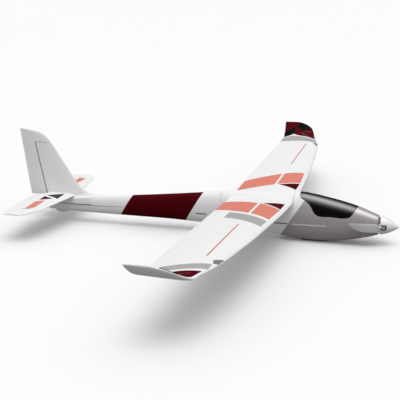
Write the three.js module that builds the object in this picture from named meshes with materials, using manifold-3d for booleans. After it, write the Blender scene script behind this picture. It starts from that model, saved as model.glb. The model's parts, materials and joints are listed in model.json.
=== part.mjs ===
// RC sailplane of 1.5 m span: foam airframe, folding propeller, ailerons, elevator, rudder and canopy hatch.
// Millimetres. +X points to the nose, +Y to the left wing tip and +Z up.
// The frame's origin is the middle of the flat face of the belly skid, on which the aircraft rests.
// The airframe is drawn from a datum of its own, in the plane of symmetry near the foot of the wing spar,
// about as high as the motor shaft. The group named datum carries it.
import * as THREE from "three";
import { mergeVertices } from "three/addons/utils/BufferGeometryUtils.js";
import Module from "manifold-3d";

const wasm = await Module();
wasm.setup();

// ---------------------------------------------------------------- driving dimensions

const SKID = { rear: 70, front: 135, half: 9, thickness: 1 };
const BELLY_FLAT = -43.7; // height of the flat under the belly
const GAP = 0.3; // clearance between neighbouring pieces
const FAR = 1000; // reach of a cutting block that only needs to be larger than the aircraft

const BODY_POINTS = 28; // points round a fuselage frame
const BODY_ROUNDNESS = 2.25; // exponent of the frames' superellipse
const WALL = 5; // foam wall round the equipment bay
const BAY_REAR = 20;
const BAY_FRONT = 238;
const SADDLE_HEIGHT = 36; // the wing centre section rests on the fuselage at this height
const SADDLE_FRONT = 54;
const SADDLE_REAR = -125;

// Fuselage frames from nose to tail: station x, top, bottom, half width, height of the widest point.
const BODY_FRAMES = [
  [252, 24.7, -20.3, 22.5, 2.2],
  [238, 29.8, -24.8, 25.8, 3],
  [202, 43.2, -33.8, 33, 5],
  [170, 52, -40, 36.6, 6],
  [135, 59.5, -44, 38.2, 7],
  [100, 66, -44.6, 38.4, 8.5],
  [68, 70, -43.2, 37.8, 10],
  [20, 68.5, -38, 35, 12],
  [-30, 66, -32, 31, 14],
  [-80, 63, -27.5, 27, 15],
  [-125, 59, -24.7, 23.6, 15],
  [-175, 53, -22.2, 20.8, 14],
  [-260, 43.5, -19.3, 17.8, 11],
  [-355, 34, -18.7, 15.3, 8],
  [-452, 26.3, -18, 13, 4.5],
  [-530, 20.5, -17, 11, 2],
];
const TAIL_END = { bottomX: -584, topX: -593, top: 18.6, bottom: -14.5, halfWidth: 8.6, wide: 1 };

const SPAR_X = 10;
const HALF_SPAN = 750;
const CENTRE_HALF = 45; // half width of the wing centre section
const WING_THICKNESS = 0.1; // of the chord
const WING_CAMBER = 0.022;
const WING_REAR_EDGE_HEIGHT = 44; // in the plane of symmetry
const DIHEDRAL = Math.atan(0.0445);
const ROOT_INCIDENCE = 0.014; // slope of the chord line, washed out to zero at the tip
const TIP_START = 690; // the panel turns up from here
const TIP_BEND = THREE.MathUtils.degToRad(18); // slope just outboard of the crease
const TIP_CANT = THREE.MathUtils.degToRad(44.6); // slope at the very tip
// Wing plan: distance from the plane of symmetry, leading edge x, trailing edge x.
const WING_PLAN = [
  [0, 52, -105],
  [100, 52, -104.5],
  [200, 48.5, -104],
  [300, 43, -103],
  [400, 37.5, -102],
  [480, 30.5, -101],
  [545, 24.5, -100],
  [600, 17, -99],
  [640, 9, -99],
  [668, 2, -99.6],
  [TIP_START, -2, -101],
];
const AILERON = { inner: 182, outer: 603, hinge: -80 };

const STAB_HEIGHT = 24.5;
const STAB_THICKNESS = 0.08;
const STAB_PLAN = [
  [9.4, -509.5, -617],
  [64, -516.5, -614],
  [130, -525, -610],
  [175, -532.5, -607.6],
  [200, -542, -606.2],
  [214, -551, -605.4],
  [222, -562, -605],
];
const ELEVATOR_HINGE = -577;
const ELEVATOR_CUT = 0.49; // the elevator root runs outboard by this much for each millimetre aft

// Fin and rudder side view: height, leading edge x, trailing edge x, thickness share of the chord.
const FIN_PLAN = [
  [12, -440, -630.5, 0.07],
  [27, -460, -632.7, 0.07],
  [34, -477, -633.7, 0.078],
  [44, -493.5, -635.2, 0.084],
  [60, -507.5, -637.6, 0.088],
  [80, -521, -640.6, 0.09],
  [118, -547, -646.2, 0.09],
  [158, -574, -652.2, 0.09],
  [170, -584.5, -654, 0.09],
  [179, -597, -655.3, 0.09],
  [185, -614, -656.2, 0.09],
  [190, -648, -657, 0.12],
];
const RUDDER_HINGE_FOOT = new THREE.Vector3(-588, 0, 24);
const RUDDER_LEAN = Math.atan2(28.7, 133.4); // the rudder hinge leans aft
const RUDDER_BOTTOM = 21;
const BALANCE_CUT = 157.6;

const NOSE = new THREE.Vector3(253, 0, 2.2); // centre of the nose ring
const DOWN_THRUST = THREE.MathUtils.degToRad(4);
const SPINNER = { base: 3, tip: 47, radius: 21.6, wall: 1.3 };
const BLADE = { pivotX: 12, pivotR: 21, length: 85, restAngle: Math.atan(0.42) };

const ROD_RADIUS = 0.7;
const TAIL_ARM = 20; // elevator horn and servo arm
const RUDDER_ARM = 11;
const AILERON_ARM = 14;

// ---------------------------------------------------------------- materials

const finish = (color, roughness, metalness = 0) =>
  new THREE.MeshStandardMaterial({ color, roughness, metalness });
const FOAM = finish("#f4f1ee", 0.6);
const CANOPY = finish("#050506", 0.12);
const GREY_PLASTIC = finish("#b9b8b8", 0.4);
const WHITE_PLASTIC = finish("#e2e2e0", 0.4);
const BLACK_PLASTIC = finish("#151517", 0.45);
const SERVO_BLUE = finish("#27559c", 0.3);
const STEEL = finish("#b5b8bc", 0.3, 1);
const ALUMINIUM = finish("#c9cacc", 0.35, 1);
const COPPER = finish("#b5683a", 0.4, 0.8);
const CARBON = finish("#1b1c1e", 0.35);
const PLYWOOD = finish("#c9a777", 0.7);
const BATTERY_FILM = finish("#2b2d31", 0.35);
const HOOK_TAPE = finish("#20232b", 0.9);

// ---------------------------------------------------------------- geometry helpers

// A closed geometry as a solid that can be joined and cut.
function solidOf(geometry) {
  const bare = geometry.clone();
  bare.deleteAttribute("normal");
  bare.deleteAttribute("uv");
  const merged = mergeVertices(bare, 1e-3);
  return new wasm.Manifold(
    new wasm.Mesh({
      numProp: 3,
      vertProperties: merged.attributes.position.array,
      triVerts: new Uint32Array(merged.index.array),
    }),
  );
}

function geometryOf(solid) {
  const mesh = solid.getMesh();
  const geometry = new THREE.BufferGeometry();
  geometry.setAttribute("position", new THREE.BufferAttribute(mesh.vertProperties, 3));
  geometry.setIndex(new THREE.BufferAttribute(mesh.triVerts, 1));
  const flat = geometry.toNonIndexed();
  flat.computeVertexNormals();
  return flat;
}

function moved(geometry, x, y, z) {
  return geometry.translate(x, y, z);
}

function block(x0, x1, y0, y1, z0, z1) {
  const box = new THREE.BoxGeometry(x1 - x0, y1 - y0, z1 - z0);
  return solidOf(moved(box, (x0 + x1) / 2, (y0 + y1) / 2, (z0 + z1) / 2));
}

// A round bar, or a cone when the second radius is given, between two points.
function rod(from, to, radius, endRadius = radius, sides = 12) {
  const span = new THREE.Vector3().subVectors(to, from);
  const bar = new THREE.CylinderGeometry(endRadius, radius, span.length(), sides);
  bar.translate(0, span.length() / 2, 0);
  const turn = new THREE.Quaternion().setFromUnitVectors(new THREE.Vector3(0, 1, 0), span.normalize());
  bar.applyQuaternion(turn);
  return solidOf(moved(bar, from.x, from.y, from.z));
}

const at = (x, y, z) => new THREE.Vector3(x, y, z);

// A flat outline in the XZ plane, swept along Y from y0 to y1.
function sideProfile(outline, y0, y1) {
  const shape = new THREE.Shape(outline.map(([x, z]) => new THREE.Vector2(x, z)));
  const plate = new THREE.ExtrudeGeometry(shape, { depth: y1 - y0, bevelEnabled: false, curveSegments: 8 });
  plate.rotateX(Math.PI / 2);
  return solidOf(moved(plate, 0, y1, 0));
}

// A flat outline in the XY plane, swept up from z0 to z1.
function topProfile(outline, z0, z1) {
  const shape = new THREE.Shape(outline.map(([x, y]) => new THREE.Vector2(x, y)));
  const plate = new THREE.ExtrudeGeometry(shape, { depth: z1 - z0, bevelEnabled: false, curveSegments: 8 });
  return solidOf(moved(plate, 0, 0, z0));
}

function roundedOutline(x0, x1, y0, y1, radius) {
  const corners = [
    [x1 - radius, y1 - radius, 0],
    [x0 + radius, y1 - radius, 1],
    [x0 + radius, y0 + radius, 2],
    [x1 - radius, y0 + radius, 3],
  ];
  const steps = 3;
  return corners.flatMap(([x, y, quarter]) =>
    Array.from({ length: steps + 1 }, (_, i) => {
      const angle = ((quarter + i / steps) * Math.PI) / 2;
      return [x + radius * Math.cos(angle), y + radius * Math.sin(angle)];
    }),
  );
}

// A body of revolution about the X axis from [radius, x] points that start and end on the axis or close.
function turned(profile, sides = 24) {
  const points = profile.map(([radius, x]) => new THREE.Vector2(radius, x));
  const body = new THREE.LatheGeometry(points, sides);
  body.rotateZ(-Math.PI / 2);
  const made = solidOf(body);
  return made.volume() < 0 ? solidOf(reversed(body)) : made;
}

function reversed(geometry) {
  const turnedRound = geometry.clone();
  const index = turnedRound.index.array;
  for (let i = 0; i < index.length; i += 3) [index[i + 1], index[i + 2]] = [index[i + 2], index[i + 1]];
  return turnedRound;
}

// Triangles that close a ring of points lying in one plane, turning the way the ring turns.
function capOf(ring) {
  const normal = new THREE.Vector3();
  ring.forEach((p, i) => normal.add(new THREE.Vector3().crossVectors(p, ring[(i + 1) % ring.length])));
  const size = [Math.abs(normal.x), Math.abs(normal.y), Math.abs(normal.z)];
  const drop = size.indexOf(Math.max(...size));
  const flat = ring.map((p) => new THREE.Vector2(...p.toArray().filter((_, axis) => axis !== drop)));
  const turn = Math.sign(THREE.ShapeUtils.area(flat));
  return THREE.ShapeUtils.triangulateShape(flat, []).map(([a, b, c]) => {
    const area = THREE.ShapeUtils.area([flat[a], flat[b], flat[c]]);
    return area * turn >= 0 ? [a, b, c] : [a, c, b];
  });
}

// A solid skinned over rings that all have the same number of points.
function loft(rings) {
  const count = rings[0].length;
  const last = (rings.length - 1) * count;
  const index = [];
  for (let ring = 0; ring + 1 < rings.length; ring++) {
    for (let i = 0; i < count; i++) {
      const a = ring * count + i;
      const b = ring * count + ((i + 1) % count);
      index.push(a, b, a + count, b, b + count, a + count);
    }
  }
  capOf(rings[0]).forEach(([a, b, c]) => index.push(a, c, b));
  capOf(rings[rings.length - 1]).forEach(([a, b, c]) => index.push(last + a, last + b, last + c));
  const skin = new THREE.BufferGeometry().setFromPoints(rings.flat());
  skin.setIndex(index);
  const made = solidOf(skin);
  return made.volume() < 0 ? solidOf(reversed(skin)) : made;
}

// Chord fractions and heights round a wing section, from the upper rear edge by the nose to the lower one.
function section(thickness, camber, rearEdge, steps = 9) {
  const crest = 0.4;
  const upper = [];
  const lower = [];
  for (let i = 0; i <= steps; i++) {
    const x = (1 - Math.cos((Math.PI * i) / steps)) / 2;
    const form = 0.2969 * Math.sqrt(x) - 0.126 * x - 0.3516 * x ** 2 + 0.2843 * x ** 3 - 0.1036 * x ** 4;
    const half = 5 * thickness * form + (rearEdge * x) / 2;
    const parabola = 2 * crest * x - x * x;
    const rise = x < crest ? parabola / crest ** 2 : (1 - 2 * crest + parabola) / (1 - crest) ** 2;
    upper.push([x, camber * rise + half]);
    lower.push([x, camber * rise - half]);
  }
  return [...upper.reverse(), ...lower.slice(1)];
}

// ---------------------------------------------------------------- scene graph

const sailplane = new THREE.Group();
sailplane.name = "sailplane";
const datum = new THREE.Group();
datum.position.set(-(SKID.rear + SKID.front) / 2, 0, GAP + SKID.thickness - BELLY_FLAT);
sailplane.add(datum);

function add(name, solid, material, parent = datum) {
  const mesh = new THREE.Mesh(geometryOf(solid), material);
  mesh.name = name;
  parent.add(mesh);
  return mesh;
}

const leftSide = new THREE.Group();
const rightSide = new THREE.Group();
rightSide.scale.set(1, -1, 1);
datum.add(leftSide, rightSide);

// One piece on the left side and its mirror image on the right side.
function addPair(name, solid, material) {
  add(name + "_left", solid, material, leftSide);
  add(name + "_right", solid, material, rightSide);
}

// ---------------------------------------------------------------- fuselage

// Body frame at any station, between the two nearest frames.
function frameAt(x) {
  const after = BODY_FRAMES.findIndex((frame) => frame[0] <= x);
  const [front, rear] = [BODY_FRAMES[after - 1] ?? BODY_FRAMES[after], BODY_FRAMES[after]];
  const share = front[0] === rear[0] ? 0 : (front[0] - x) / (front[0] - rear[0]);
  return front.map((value, i) => value + share * (rear[i] - value));
}

// One superellipse frame, drawn in by inset. A leaning frame gives its station as a function of height.
function bodyRing([x, top, bottom, halfWidth, wide], inset = 0, stationAt = () => x) {
  const reach = 2 / BODY_ROUNDNESS;
  return Array.from({ length: BODY_POINTS }, (_, i) => {
    const angle = (2 * Math.PI * i) / BODY_POINTS;
    const across = Math.sign(Math.cos(angle)) * Math.abs(Math.cos(angle)) ** reach;
    const up = Math.sign(Math.sin(angle)) * Math.abs(Math.sin(angle)) ** reach;
    const height = up >= 0 ? top - wide - inset : wide - bottom - inset;
    const z = wide + height * up;
    return at(stationAt(z), (halfWidth - inset) * across, z);
  });
}

function tailEndStation(z) {
  const { bottomX, topX, top, bottom } = TAIL_END;
  return bottomX + ((topX - bottomX) * (z - bottom)) / (top - bottom);
}

function bodySkin(inset = 0) {
  const { top, bottom, halfWidth, wide } = TAIL_END;
  const tail = bodyRing([0, top, bottom, halfWidth, wide], inset, tailEndStation);
  return loft([...BODY_FRAMES.map((frame) => bodyRing(frame, inset)), tail]);
}

// A line of the fin plan at any height.
function finAt(z) {
  const above = FIN_PLAN.findIndex((level) => level[0] >= z);
  const [low, high] = [FIN_PLAN[above - 1] ?? FIN_PLAN[above], FIN_PLAN[above]];
  const share = low === high ? 0 : (z - low[0]) / (high[0] - low[0]);
  return low.map((value, i) => value + share * (high[i] - value));
}

const FIN_REAR_EDGE = 1.2;
const finSkin = loft(
  FIN_PLAN.map(([z, lead, trail, thickness]) => {
    const chord = lead - trail;
    return section(thickness, 0, FIN_REAR_EDGE / chord).map(([x, y]) => at(lead - x * chord, y * chord, z));
  }),
);

function rudderHingeAt(z) {
  return at(RUDDER_HINGE_FOOT.x - (z - RUDDER_HINGE_FOOT.z) * Math.tan(RUDDER_LEAN), 0, z);
}

function halfThickness(share, thickness, chord, rearEdge) {
  const root = 0.2969 * Math.sqrt(share) - 0.126 * share;
  const form = root - 0.3516 * share ** 2 + 0.2843 * share ** 3 - 0.1036 * share ** 4;
  return 5 * thickness * form * chord + (rearEdge * share) / 2;
}

function rudderNoseRadius(z) {
  const [, lead, trail, thickness] = finAt(z);
  const share = (lead - rudderHingeAt(z).x) / (lead - trail);
  return halfThickness(share, thickness, lead - trail, FIN_REAR_EDGE);
}

// Everything ahead of (or behind) a plane through the rudder hinge, moved forward by offset.
function besideRudderHinge(offset, ahead) {
  const box = new THREE.BoxGeometry(FAR, FAR, FAR);
  box.translate(offset + (ahead ? FAR / 2 : -FAR / 2), 0, 0);
  box.rotateY(-RUDDER_LEAN);
  return solidOf(moved(box, RUDDER_HINGE_FOOT.x, 0, RUDDER_HINGE_FOOT.z));
}

const HINGE_GAP = 0.7; // between a control surface's round nose and the piece ahead of it
const above = (z) => block(-FAR, FAR, -FAR, FAR, z, FAR);
const below = (z) => block(-FAR, FAR, -FAR, FAR, -FAR, z);

const bodyOuter = bodySkin().subtract(below(BELLY_FLAT));

// Outline of the canopy hatch seen from the side.
const CANOPY_OUTLINE = [
  [66.5, 90],
  [66.5, 66],
  [70, 60.5],
  [80, 55.5],
  [90, 48.5],
  [97, 40.5],
  [103, 31],
  [108, 25.5],
  [114, 23],
  [143, 22.2],
  [181, 21.6],
  [187, 23.2],
  [191.5, 28.5],
  [203, 43.6],
  [206, 90],
];
const CANOPY_WALL = 3;
const canopyPrism = sideProfile(CANOPY_OUTLINE, -60, 60);
const canopyPrismInner = sideProfile(
  CANOPY_OUTLINE.map(([x, z]) => [x + (x < 140 ? GAP : -GAP), z + GAP]),
  -60,
  60,
);

const bayFrames = [BAY_FRONT, 202, 170, 135, 100, 68, BAY_REAR].map(frameAt);
const LEDGE_TOP = -24.3; // the battery tray and the speed controller rest on two foam ledges
const BOSS = { low: 56, high: 67.5, half: 7 };
const STRAP = { rear: 130, front: 146 };
const ledgeSpans = [
  [BAY_REAR - 5, STRAP.rear - 1],
  [STRAP.front + 1, 196],
];
const ledges = ledgeSpans.flatMap(([x0, x1]) => [
  block(x0, x1, 10, 60, -60, LEDGE_TOP),
  block(x0, x1, -60, -10, -60, LEDGE_TOP),
]);
let bay = loft(bayFrames.map((frame) => bodyRing(frame, WALL)));
bay = bay.subtract(block(50, 66.5, -BOSS.half, BOSS.half, BOSS.low, 80));
ledges.forEach((ledge) => (bay = bay.subtract(ledge)));

const powerFrame = new THREE.Matrix4()
  .makeRotationY(DOWN_THRUST)
  .setPosition(NOSE);
const throughPowerFrame = (x, y, z) => at(x, y, z).applyMatrix4(powerFrame);
const FIREWALL_RADIUS = 18.6;
const noseBoreEnds = [throughPowerFrame(-22, 0, 0), throughPowerFrame(8, 0, 0)];
const noseBore = rod(...noseBoreEnds, FIREWALL_RADIUS + GAP, undefined, 24);

// The seat between the fin and the stabilizer roots.
const seat = topProfile(
  [
    [-497, 0],
    [-505, -5],
    [-515, -7.8],
    [-528, -9],
    [-583.4, -9],
    [-583.4, 9],
    [-528, 9],
    [-515, 7.8],
    [-505, 5],
  ],
  6,
  STAB_HEIGHT + 4.6,
);

const fin = finSkin.intersect(besideRudderHinge(3.9 + HINGE_GAP, true)).intersect(below(BALANCE_CUT - 1.3));
const STAB_JOINER = { x: -546, radius: 2, half: 110 };
const WING_JOINER = { z: 52, radius: 3, half: 150 };
const MAGNET = { z: 61.5, radius: 3, length: 2.8 };

// Elevator linkage: the servo arm is parallel to the horn, so the pushrod moves without turning.
const ELEVATOR_ROD_Y = -12.6;
const ELEVATOR_SERVO_X = -60;
const ELEVATOR_ROD_Z = STAB_HEIGHT - TAIL_ARM;
const elevatorRodAt = (x, lift = 0) => at(x, ELEVATOR_ROD_Y, ELEVATOR_ROD_Z + lift);
// A block beside the pushrod, from 2 mm outboard of it to a distance inboard of it.
const besideElevatorRod = (x0, x1, inboard, z0, z1) =>
  block(x0, x1, ELEVATOR_ROD_Y - 2, ELEVATOR_ROD_Y + inboard, z0, z1);
const ELEVATOR_TUBE = { front: -150, rear: -465, lift: 0.6, inner: 1.6, outer: 2 };

// Rudder linkage: the servo shaft is parallel to the leaning rudder hinge.
const RUDDER_ROD_REAR = rudderHingeAt(35.5).add(at(0, RUDDER_ARM, 0));
const RUDDER_ROD_FRONT = RUDDER_ROD_REAR.clone().add(at(580, -11.6, -46.4));
const RUDDER_SHAFT = RUDDER_ROD_FRONT.clone().sub(at(0, RUDDER_ARM, 0));
const RUDDER_TUBE = { front: -60, rear: -449, inner: 2.3, outer: 2.9 };

function rudderRodAt(x) {
  const share = (x - RUDDER_ROD_FRONT.x) / (RUDDER_ROD_REAR.x - RUDDER_ROD_FRONT.x);
  return RUDDER_ROD_FRONT.clone().lerp(RUDDER_ROD_REAR, share);
}

const SERVO = { length: 23, width: 12, height: 22, shaftInset: 6 };
const SHAFT_END_RADIUS = 2.6; // the servo's output shaft under its arm

// Geometry made about the rudder servo's shaft, carried to its place.
const rudderServoFrame = new THREE.Matrix4().makeRotationY(-RUDDER_LEAN).setPosition(RUDDER_SHAFT);
function rudderServoBlock(x0, x1, y0, y1, z0, z1) {
  const box = new THREE.BoxGeometry(x1 - x0, y1 - y0, z1 - z0);
  box.translate((x0 + x1) / 2, (y0 + y1) / 2, (z0 + z1) / 2);
  return solidOf(box.applyMatrix4(rudderServoFrame));
}
const ARM_PLATE = [1.2, 2.7]; // where an arm or horn plate lies beside the end of its pushrod
const RUDDER_PLATE = [1.9, 3.4]; // further off, because this pushrod runs at a slant to its plates
const SERVO_CLEAR = 4.2; // from the pushrod's plane to the servo case
const RUDDER_CLEAR = 5;

function elevatorServoSolid(margin) {
  const { length, width, height, shaftInset } = SERVO;
  const y0 = ELEVATOR_ROD_Y + SERVO_CLEAR - margin;
  return block(
    ELEVATOR_SERVO_X - shaftInset - margin,
    ELEVATOR_SERVO_X + length - shaftInset + margin,
    y0,
    y0 + height + 2 * margin,
    STAB_HEIGHT - width / 2 - margin,
    STAB_HEIGHT + width / 2 + margin,
  );
}

function rudderServoSolid(margin) {
  const { length, width, height, shaftInset } = SERVO;
  return rudderServoBlock(
    -shaftInset - margin,
    length - shaftInset + margin,
    -width / 2 - margin,
    width / 2 + margin,
    RUDDER_CLEAR - margin,
    RUDDER_CLEAR + height + margin,
  );
}

const linkageRoom = [
  elevatorServoSolid(GAP),
  besideElevatorRod(ELEVATOR_SERVO_X - 13, ELEVATOR_SERVO_X + 13, SERVO_CLEAR, 0.5, 29),
  besideElevatorRod(ELEVATOR_TUBE.front - 1, ELEVATOR_SERVO_X, 2, ELEVATOR_ROD_Z - 2, ELEVATOR_ROD_Z + 3),
  rod(elevatorRodAt(ELEVATOR_TUBE.rear, 0.6), elevatorRodAt(-520, 0.6), 1.8),
  rod(
    elevatorRodAt(ELEVATOR_TUBE.front, ELEVATOR_TUBE.lift),
    elevatorRodAt(ELEVATOR_TUBE.rear - 6, ELEVATOR_TUBE.lift),
    ELEVATOR_TUBE.outer + GAP,
  ),
  rudderServoSolid(GAP),
  rudderServoBlock(-9, 9, -5, 15, -3, RUDDER_CLEAR),
  rod(RUDDER_ROD_FRONT, rudderRodAt(RUDDER_TUBE.front - 1), 3.4),
  rod(rudderRodAt(RUDDER_TUBE.front), rudderRodAt(RUDDER_TUBE.rear - 12), RUDDER_TUBE.outer + GAP),
  rod(rudderRodAt(-500), rudderRodAt(-560), 2.2),
];

const RUDDER_WIRE = { low: 8, high: 146, radius: 0.8 };
const rudderWireRoom = rod(rudderHingeAt(RUDDER_WIRE.low - 0.5), rudderHingeAt(26), RUDDER_WIRE.radius + GAP);
const ELEVATOR_JOINER = { radius: 1.3, half: 24 };
const STAB_HOLES_HALF = 30; // reach of the holes through the boom for the stabilizer and elevator joiners
const crossHole = (x, radius) =>
  rod(at(x, -STAB_HOLES_HALF, STAB_HEIGHT), at(x, STAB_HOLES_HALF, STAB_HEIGHT), radius + GAP);

// A magnet, or its seat when grown by the clearance, from x0 to x1.
const magnetAt = (x0, x1, grow = 0) =>
  rod(at(x0, 0, MAGNET.z), at(x1, 0, MAGNET.z), MAGNET.radius + grow, undefined, 16);
const BAY_MAGNET_FACE = 66.4;
const CANOPY_MAGNET_X = 69.4;

let airframe = bodyOuter.add(seat).add(fin).subtract(bay).subtract(noseBore).subtract(canopyPrism);
airframe = airframe.subtract(block(SADDLE_REAR - GAP, SADDLE_FRONT + GAP, -60, 60, SADDLE_HEIGHT - GAP, 90));
linkageRoom.forEach((room) => (airframe = airframe.subtract(room)));
airframe = airframe
  .subtract(rudderWireRoom)
  .subtract(crossHole(STAB_JOINER.x, STAB_JOINER.radius))
  .subtract(crossHole(ELEVATOR_HINGE, ELEVATOR_JOINER.radius))
  .subtract(magnetAt(BAY_MAGNET_FACE - MAGNET.length - GAP, 68, GAP));

add("fuselage_left", airframe.intersect(block(-FAR, FAR, GAP / 2, FAR, -FAR, FAR)), FOAM);
add("fuselage_right", airframe.intersect(block(-FAR, FAR, -FAR, -GAP / 2, -FAR, FAR)), FOAM);
add("bay_magnet", magnetAt(BAY_MAGNET_FACE - MAGNET.length, BAY_MAGNET_FACE), STEEL);
const skidOutline = roundedOutline(SKID.rear, SKID.front, -SKID.half, SKID.half, 8);
const skidTop = BELLY_FLAT - GAP;
add("belly_skid", topProfile(skidOutline, skidTop - SKID.thickness, skidTop), BLACK_PLASTIC);

const tailSkid = sideProfile(
  [
    [-524, -14],
    [-541, -22.6],
    [-549, -23],
    [-562, -19.5],
    [-568, -12],
  ],
  -2.5,
  2.5,
);
add("tail_skid", tailSkid.subtract(bodySkin(-GAP)), WHITE_PLASTIC);

// ---------------------------------------------------------------- canopy hatch

const canopyShell = bodyOuter
  .intersect(canopyPrismInner)
  .subtract(loft(BODY_FRAMES.slice(0, 9).map((frame) => bodyRing(frame, CANOPY_WALL))));
const tongue = block(190, 208, -8, 8, 33.2, 35).add(block(190, 195, -8, 8, 34, 44));
const canopy = canopyShell
  .add(block(68.7, 75, -BOSS.half, BOSS.half, BOSS.low, 66.5))
  .add(tongue)
  .subtract(magnetAt(68, CANOPY_MAGNET_X + MAGNET.length + GAP, GAP));
add("canopy_hatch", canopy, CANOPY);
add("canopy_magnet", magnetAt(CANOPY_MAGNET_X, CANOPY_MAGNET_X + MAGNET.length), STEEL);

// ---------------------------------------------------------------- wing

// Plan and height of the wing at a distance y from the plane of symmetry.
function wingAt(y) {
  const outer = Math.max(1, WING_PLAN.findIndex((line) => line[0] >= y));
  const [near, far] = [WING_PLAN[outer - 1], WING_PLAN[outer]];
  const share = (y - near[0]) / (far[0] - near[0]);
  return {
    y,
    z: WING_REAR_EDGE_HEIGHT + y * Math.tan(DIHEDRAL),
    lead: near[1] + share * (far[1] - near[1]),
    trail: near[2] + share * (far[2] - near[2]),
    cant: y < TIP_START ? 0 : TIP_BEND / 2,
  };
}

const incidenceAt = (y) => ROOT_INCIDENCE * (1 - y / HALF_SPAN);

// Up-turned tip: share runs from 0 at its start to 1 at its edge, along an arc seen from the front.
function tipAt(share) {
  const cant = TIP_BEND + share * (TIP_CANT - TIP_BEND);
  const arc = (HALF_SPAN - TIP_START) / (Math.sin(TIP_CANT) - Math.sin(TIP_BEND));
  return {
    y: TIP_START + arc * (Math.sin(cant) - Math.sin(TIP_BEND)),
    z: WING_REAR_EDGE_HEIGHT + TIP_START * Math.tan(DIHEDRAL) + arc * (Math.cos(TIP_BEND) - Math.cos(cant)),
    lead: -2 - 24 * share - 33 * share ** 6,
    trail: -101 - 6 * share,
    cant,
  };
}

const WING_REAR_EDGE = 1.6;
function wingRing({ y, z, lead, trail, cant }) {
  const chord = lead - trail;
  return section(WING_THICKNESS, WING_CAMBER, WING_REAR_EDGE / chord).map(([x, height]) => {
    const rise = (1 - x) * chord * incidenceAt(y) + height * chord;
    return at(lead - x * chord, y - rise * Math.sin(cant), z + rise * Math.cos(cant));
  });
}

const PANEL_ROOT = CENTRE_HALF + GAP / 2;
const panelStations = [PANEL_ROOT, ...WING_PLAN.map((line) => line[0]).filter((y) => y > CENTRE_HALF + 1)];
const tipShares = [0.15, 0.32, 0.5, 0.66, 0.8, 0.9, 0.96, 1];
const wingSkin = loft([...panelStations.map(wingAt), ...tipShares.map(tipAt)].map(wingRing));

// Middle of the section's thickness at the aileron hinge.
function aileronHingeAt(y) {
  const { z, lead, trail } = wingAt(y);
  const chord = lead - trail;
  const share = (lead - AILERON.hinge) / chord;
  const rise = (0.2 + 0.8 * share - share ** 2) / 0.36;
  return at(AILERON.hinge, y, z + (AILERON.hinge - trail) * incidenceAt(y) + WING_CAMBER * rise * chord);
}

const hingeIn = aileronHingeAt(AILERON.inner);
const hingeOut = aileronHingeAt(AILERON.outer);
const hingeSpan = new THREE.Vector3().subVectors(hingeOut, hingeIn);
const hingeSlope = Math.atan2(hingeSpan.z, hingeSpan.y);
const onAileronHinge = (y) => hingeIn.clone().addScaledVector(hingeSpan, (y - hingeIn.y) / hingeSpan.y);

function aileronNoseRadius(y) {
  const { lead, trail } = wingAt(y);
  const chord = lead - trail;
  return halfThickness((lead - AILERON.hinge) / chord, WING_THICKNESS, chord, WING_REAR_EDGE);
}

const noseIn = aileronNoseRadius(AILERON.inner);
const noseOut = aileronNoseRadius(AILERON.outer);
const END_GAP = 0.6;
const aileronRoom = topProfile(
  [
    [AILERON.hinge + noseIn + HINGE_GAP, AILERON.inner - END_GAP],
    [AILERON.hinge + noseOut + HINGE_GAP, AILERON.outer + END_GAP],
    [-140, AILERON.outer + END_GAP],
    [-140, AILERON.inner - END_GAP],
  ],
  20,
  120,
);
const aileronBlank = wingSkin.intersect(block(-140, AILERON.hinge, AILERON.inner, AILERON.outer, 20, 120));
const AILERON_WIRE = { radius: 0.5, reach: 12 };
const wireRoom = rod(
  onAileronHinge(AILERON.inner - AILERON_WIRE.reach - GAP),
  onAileronHinge(AILERON.outer + AILERON_WIRE.reach + GAP),
  AILERON_WIRE.radius + GAP,
  undefined,
  8,
);
const aileron = aileronBlank.add(rod(hingeIn, hingeOut, noseIn, noseOut)).subtract(wireRoom);

// The aileron servo lies on its side; its shaft is parallel to the aileron hinge.
const AILERON_STATION = 330;
const AILERON_SHAFT = { x: 70, z: 1.2 }; // from the hinge
const aileronFrame = new THREE.Matrix4().makeRotationX(hingeSlope);
aileronFrame.setPosition(onAileronHinge(AILERON_STATION));
function aileronBlock(x0, x1, y0, y1, z0, z1) {
  const box = new THREE.BoxGeometry(x1 - x0, y1 - y0, z1 - z0);
  box.translate((x0 + x1) / 2, (y0 + y1) / 2, (z0 + z1) / 2);
  return solidOf(box.applyMatrix4(aileronFrame));
}
const aileronPoint = (x, y, z) => at(x, y, z).applyMatrix4(aileronFrame);
const servoFront = AILERON_SHAFT.x + SERVO.length - SERVO.shaftInset;
const servoRear = AILERON_SHAFT.x - SERVO.shaftInset;
const SKIN_SIDE = AILERON_SHAFT.z + SERVO.width / 2;
const aileronServoCase = aileronBlock(
  servoRear,
  servoFront,
  -SERVO.height - 1.5,
  -1.5,
  SKIN_SIDE - SERVO.width,
  SKIN_SIDE,
);
const aileronShaftEnd = rod(
  aileronPoint(AILERON_SHAFT.x, -2, AILERON_SHAFT.z),
  aileronPoint(AILERON_SHAFT.x, -0.2, AILERON_SHAFT.z),
  SHAFT_END_RADIUS,
);
const servoRoom = aileronBlock(
  servoRear - GAP,
  servoFront + GAP,
  -SERVO.height - 1.5 - GAP,
  -1,
  -20,
  SKIN_SIDE + GAP,
).add(aileronBlock(AILERON_SHAFT.x - 9, AILERON_SHAFT.x + 9, -1.2, 5, -20, AILERON_SHAFT.z + 4));

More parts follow.
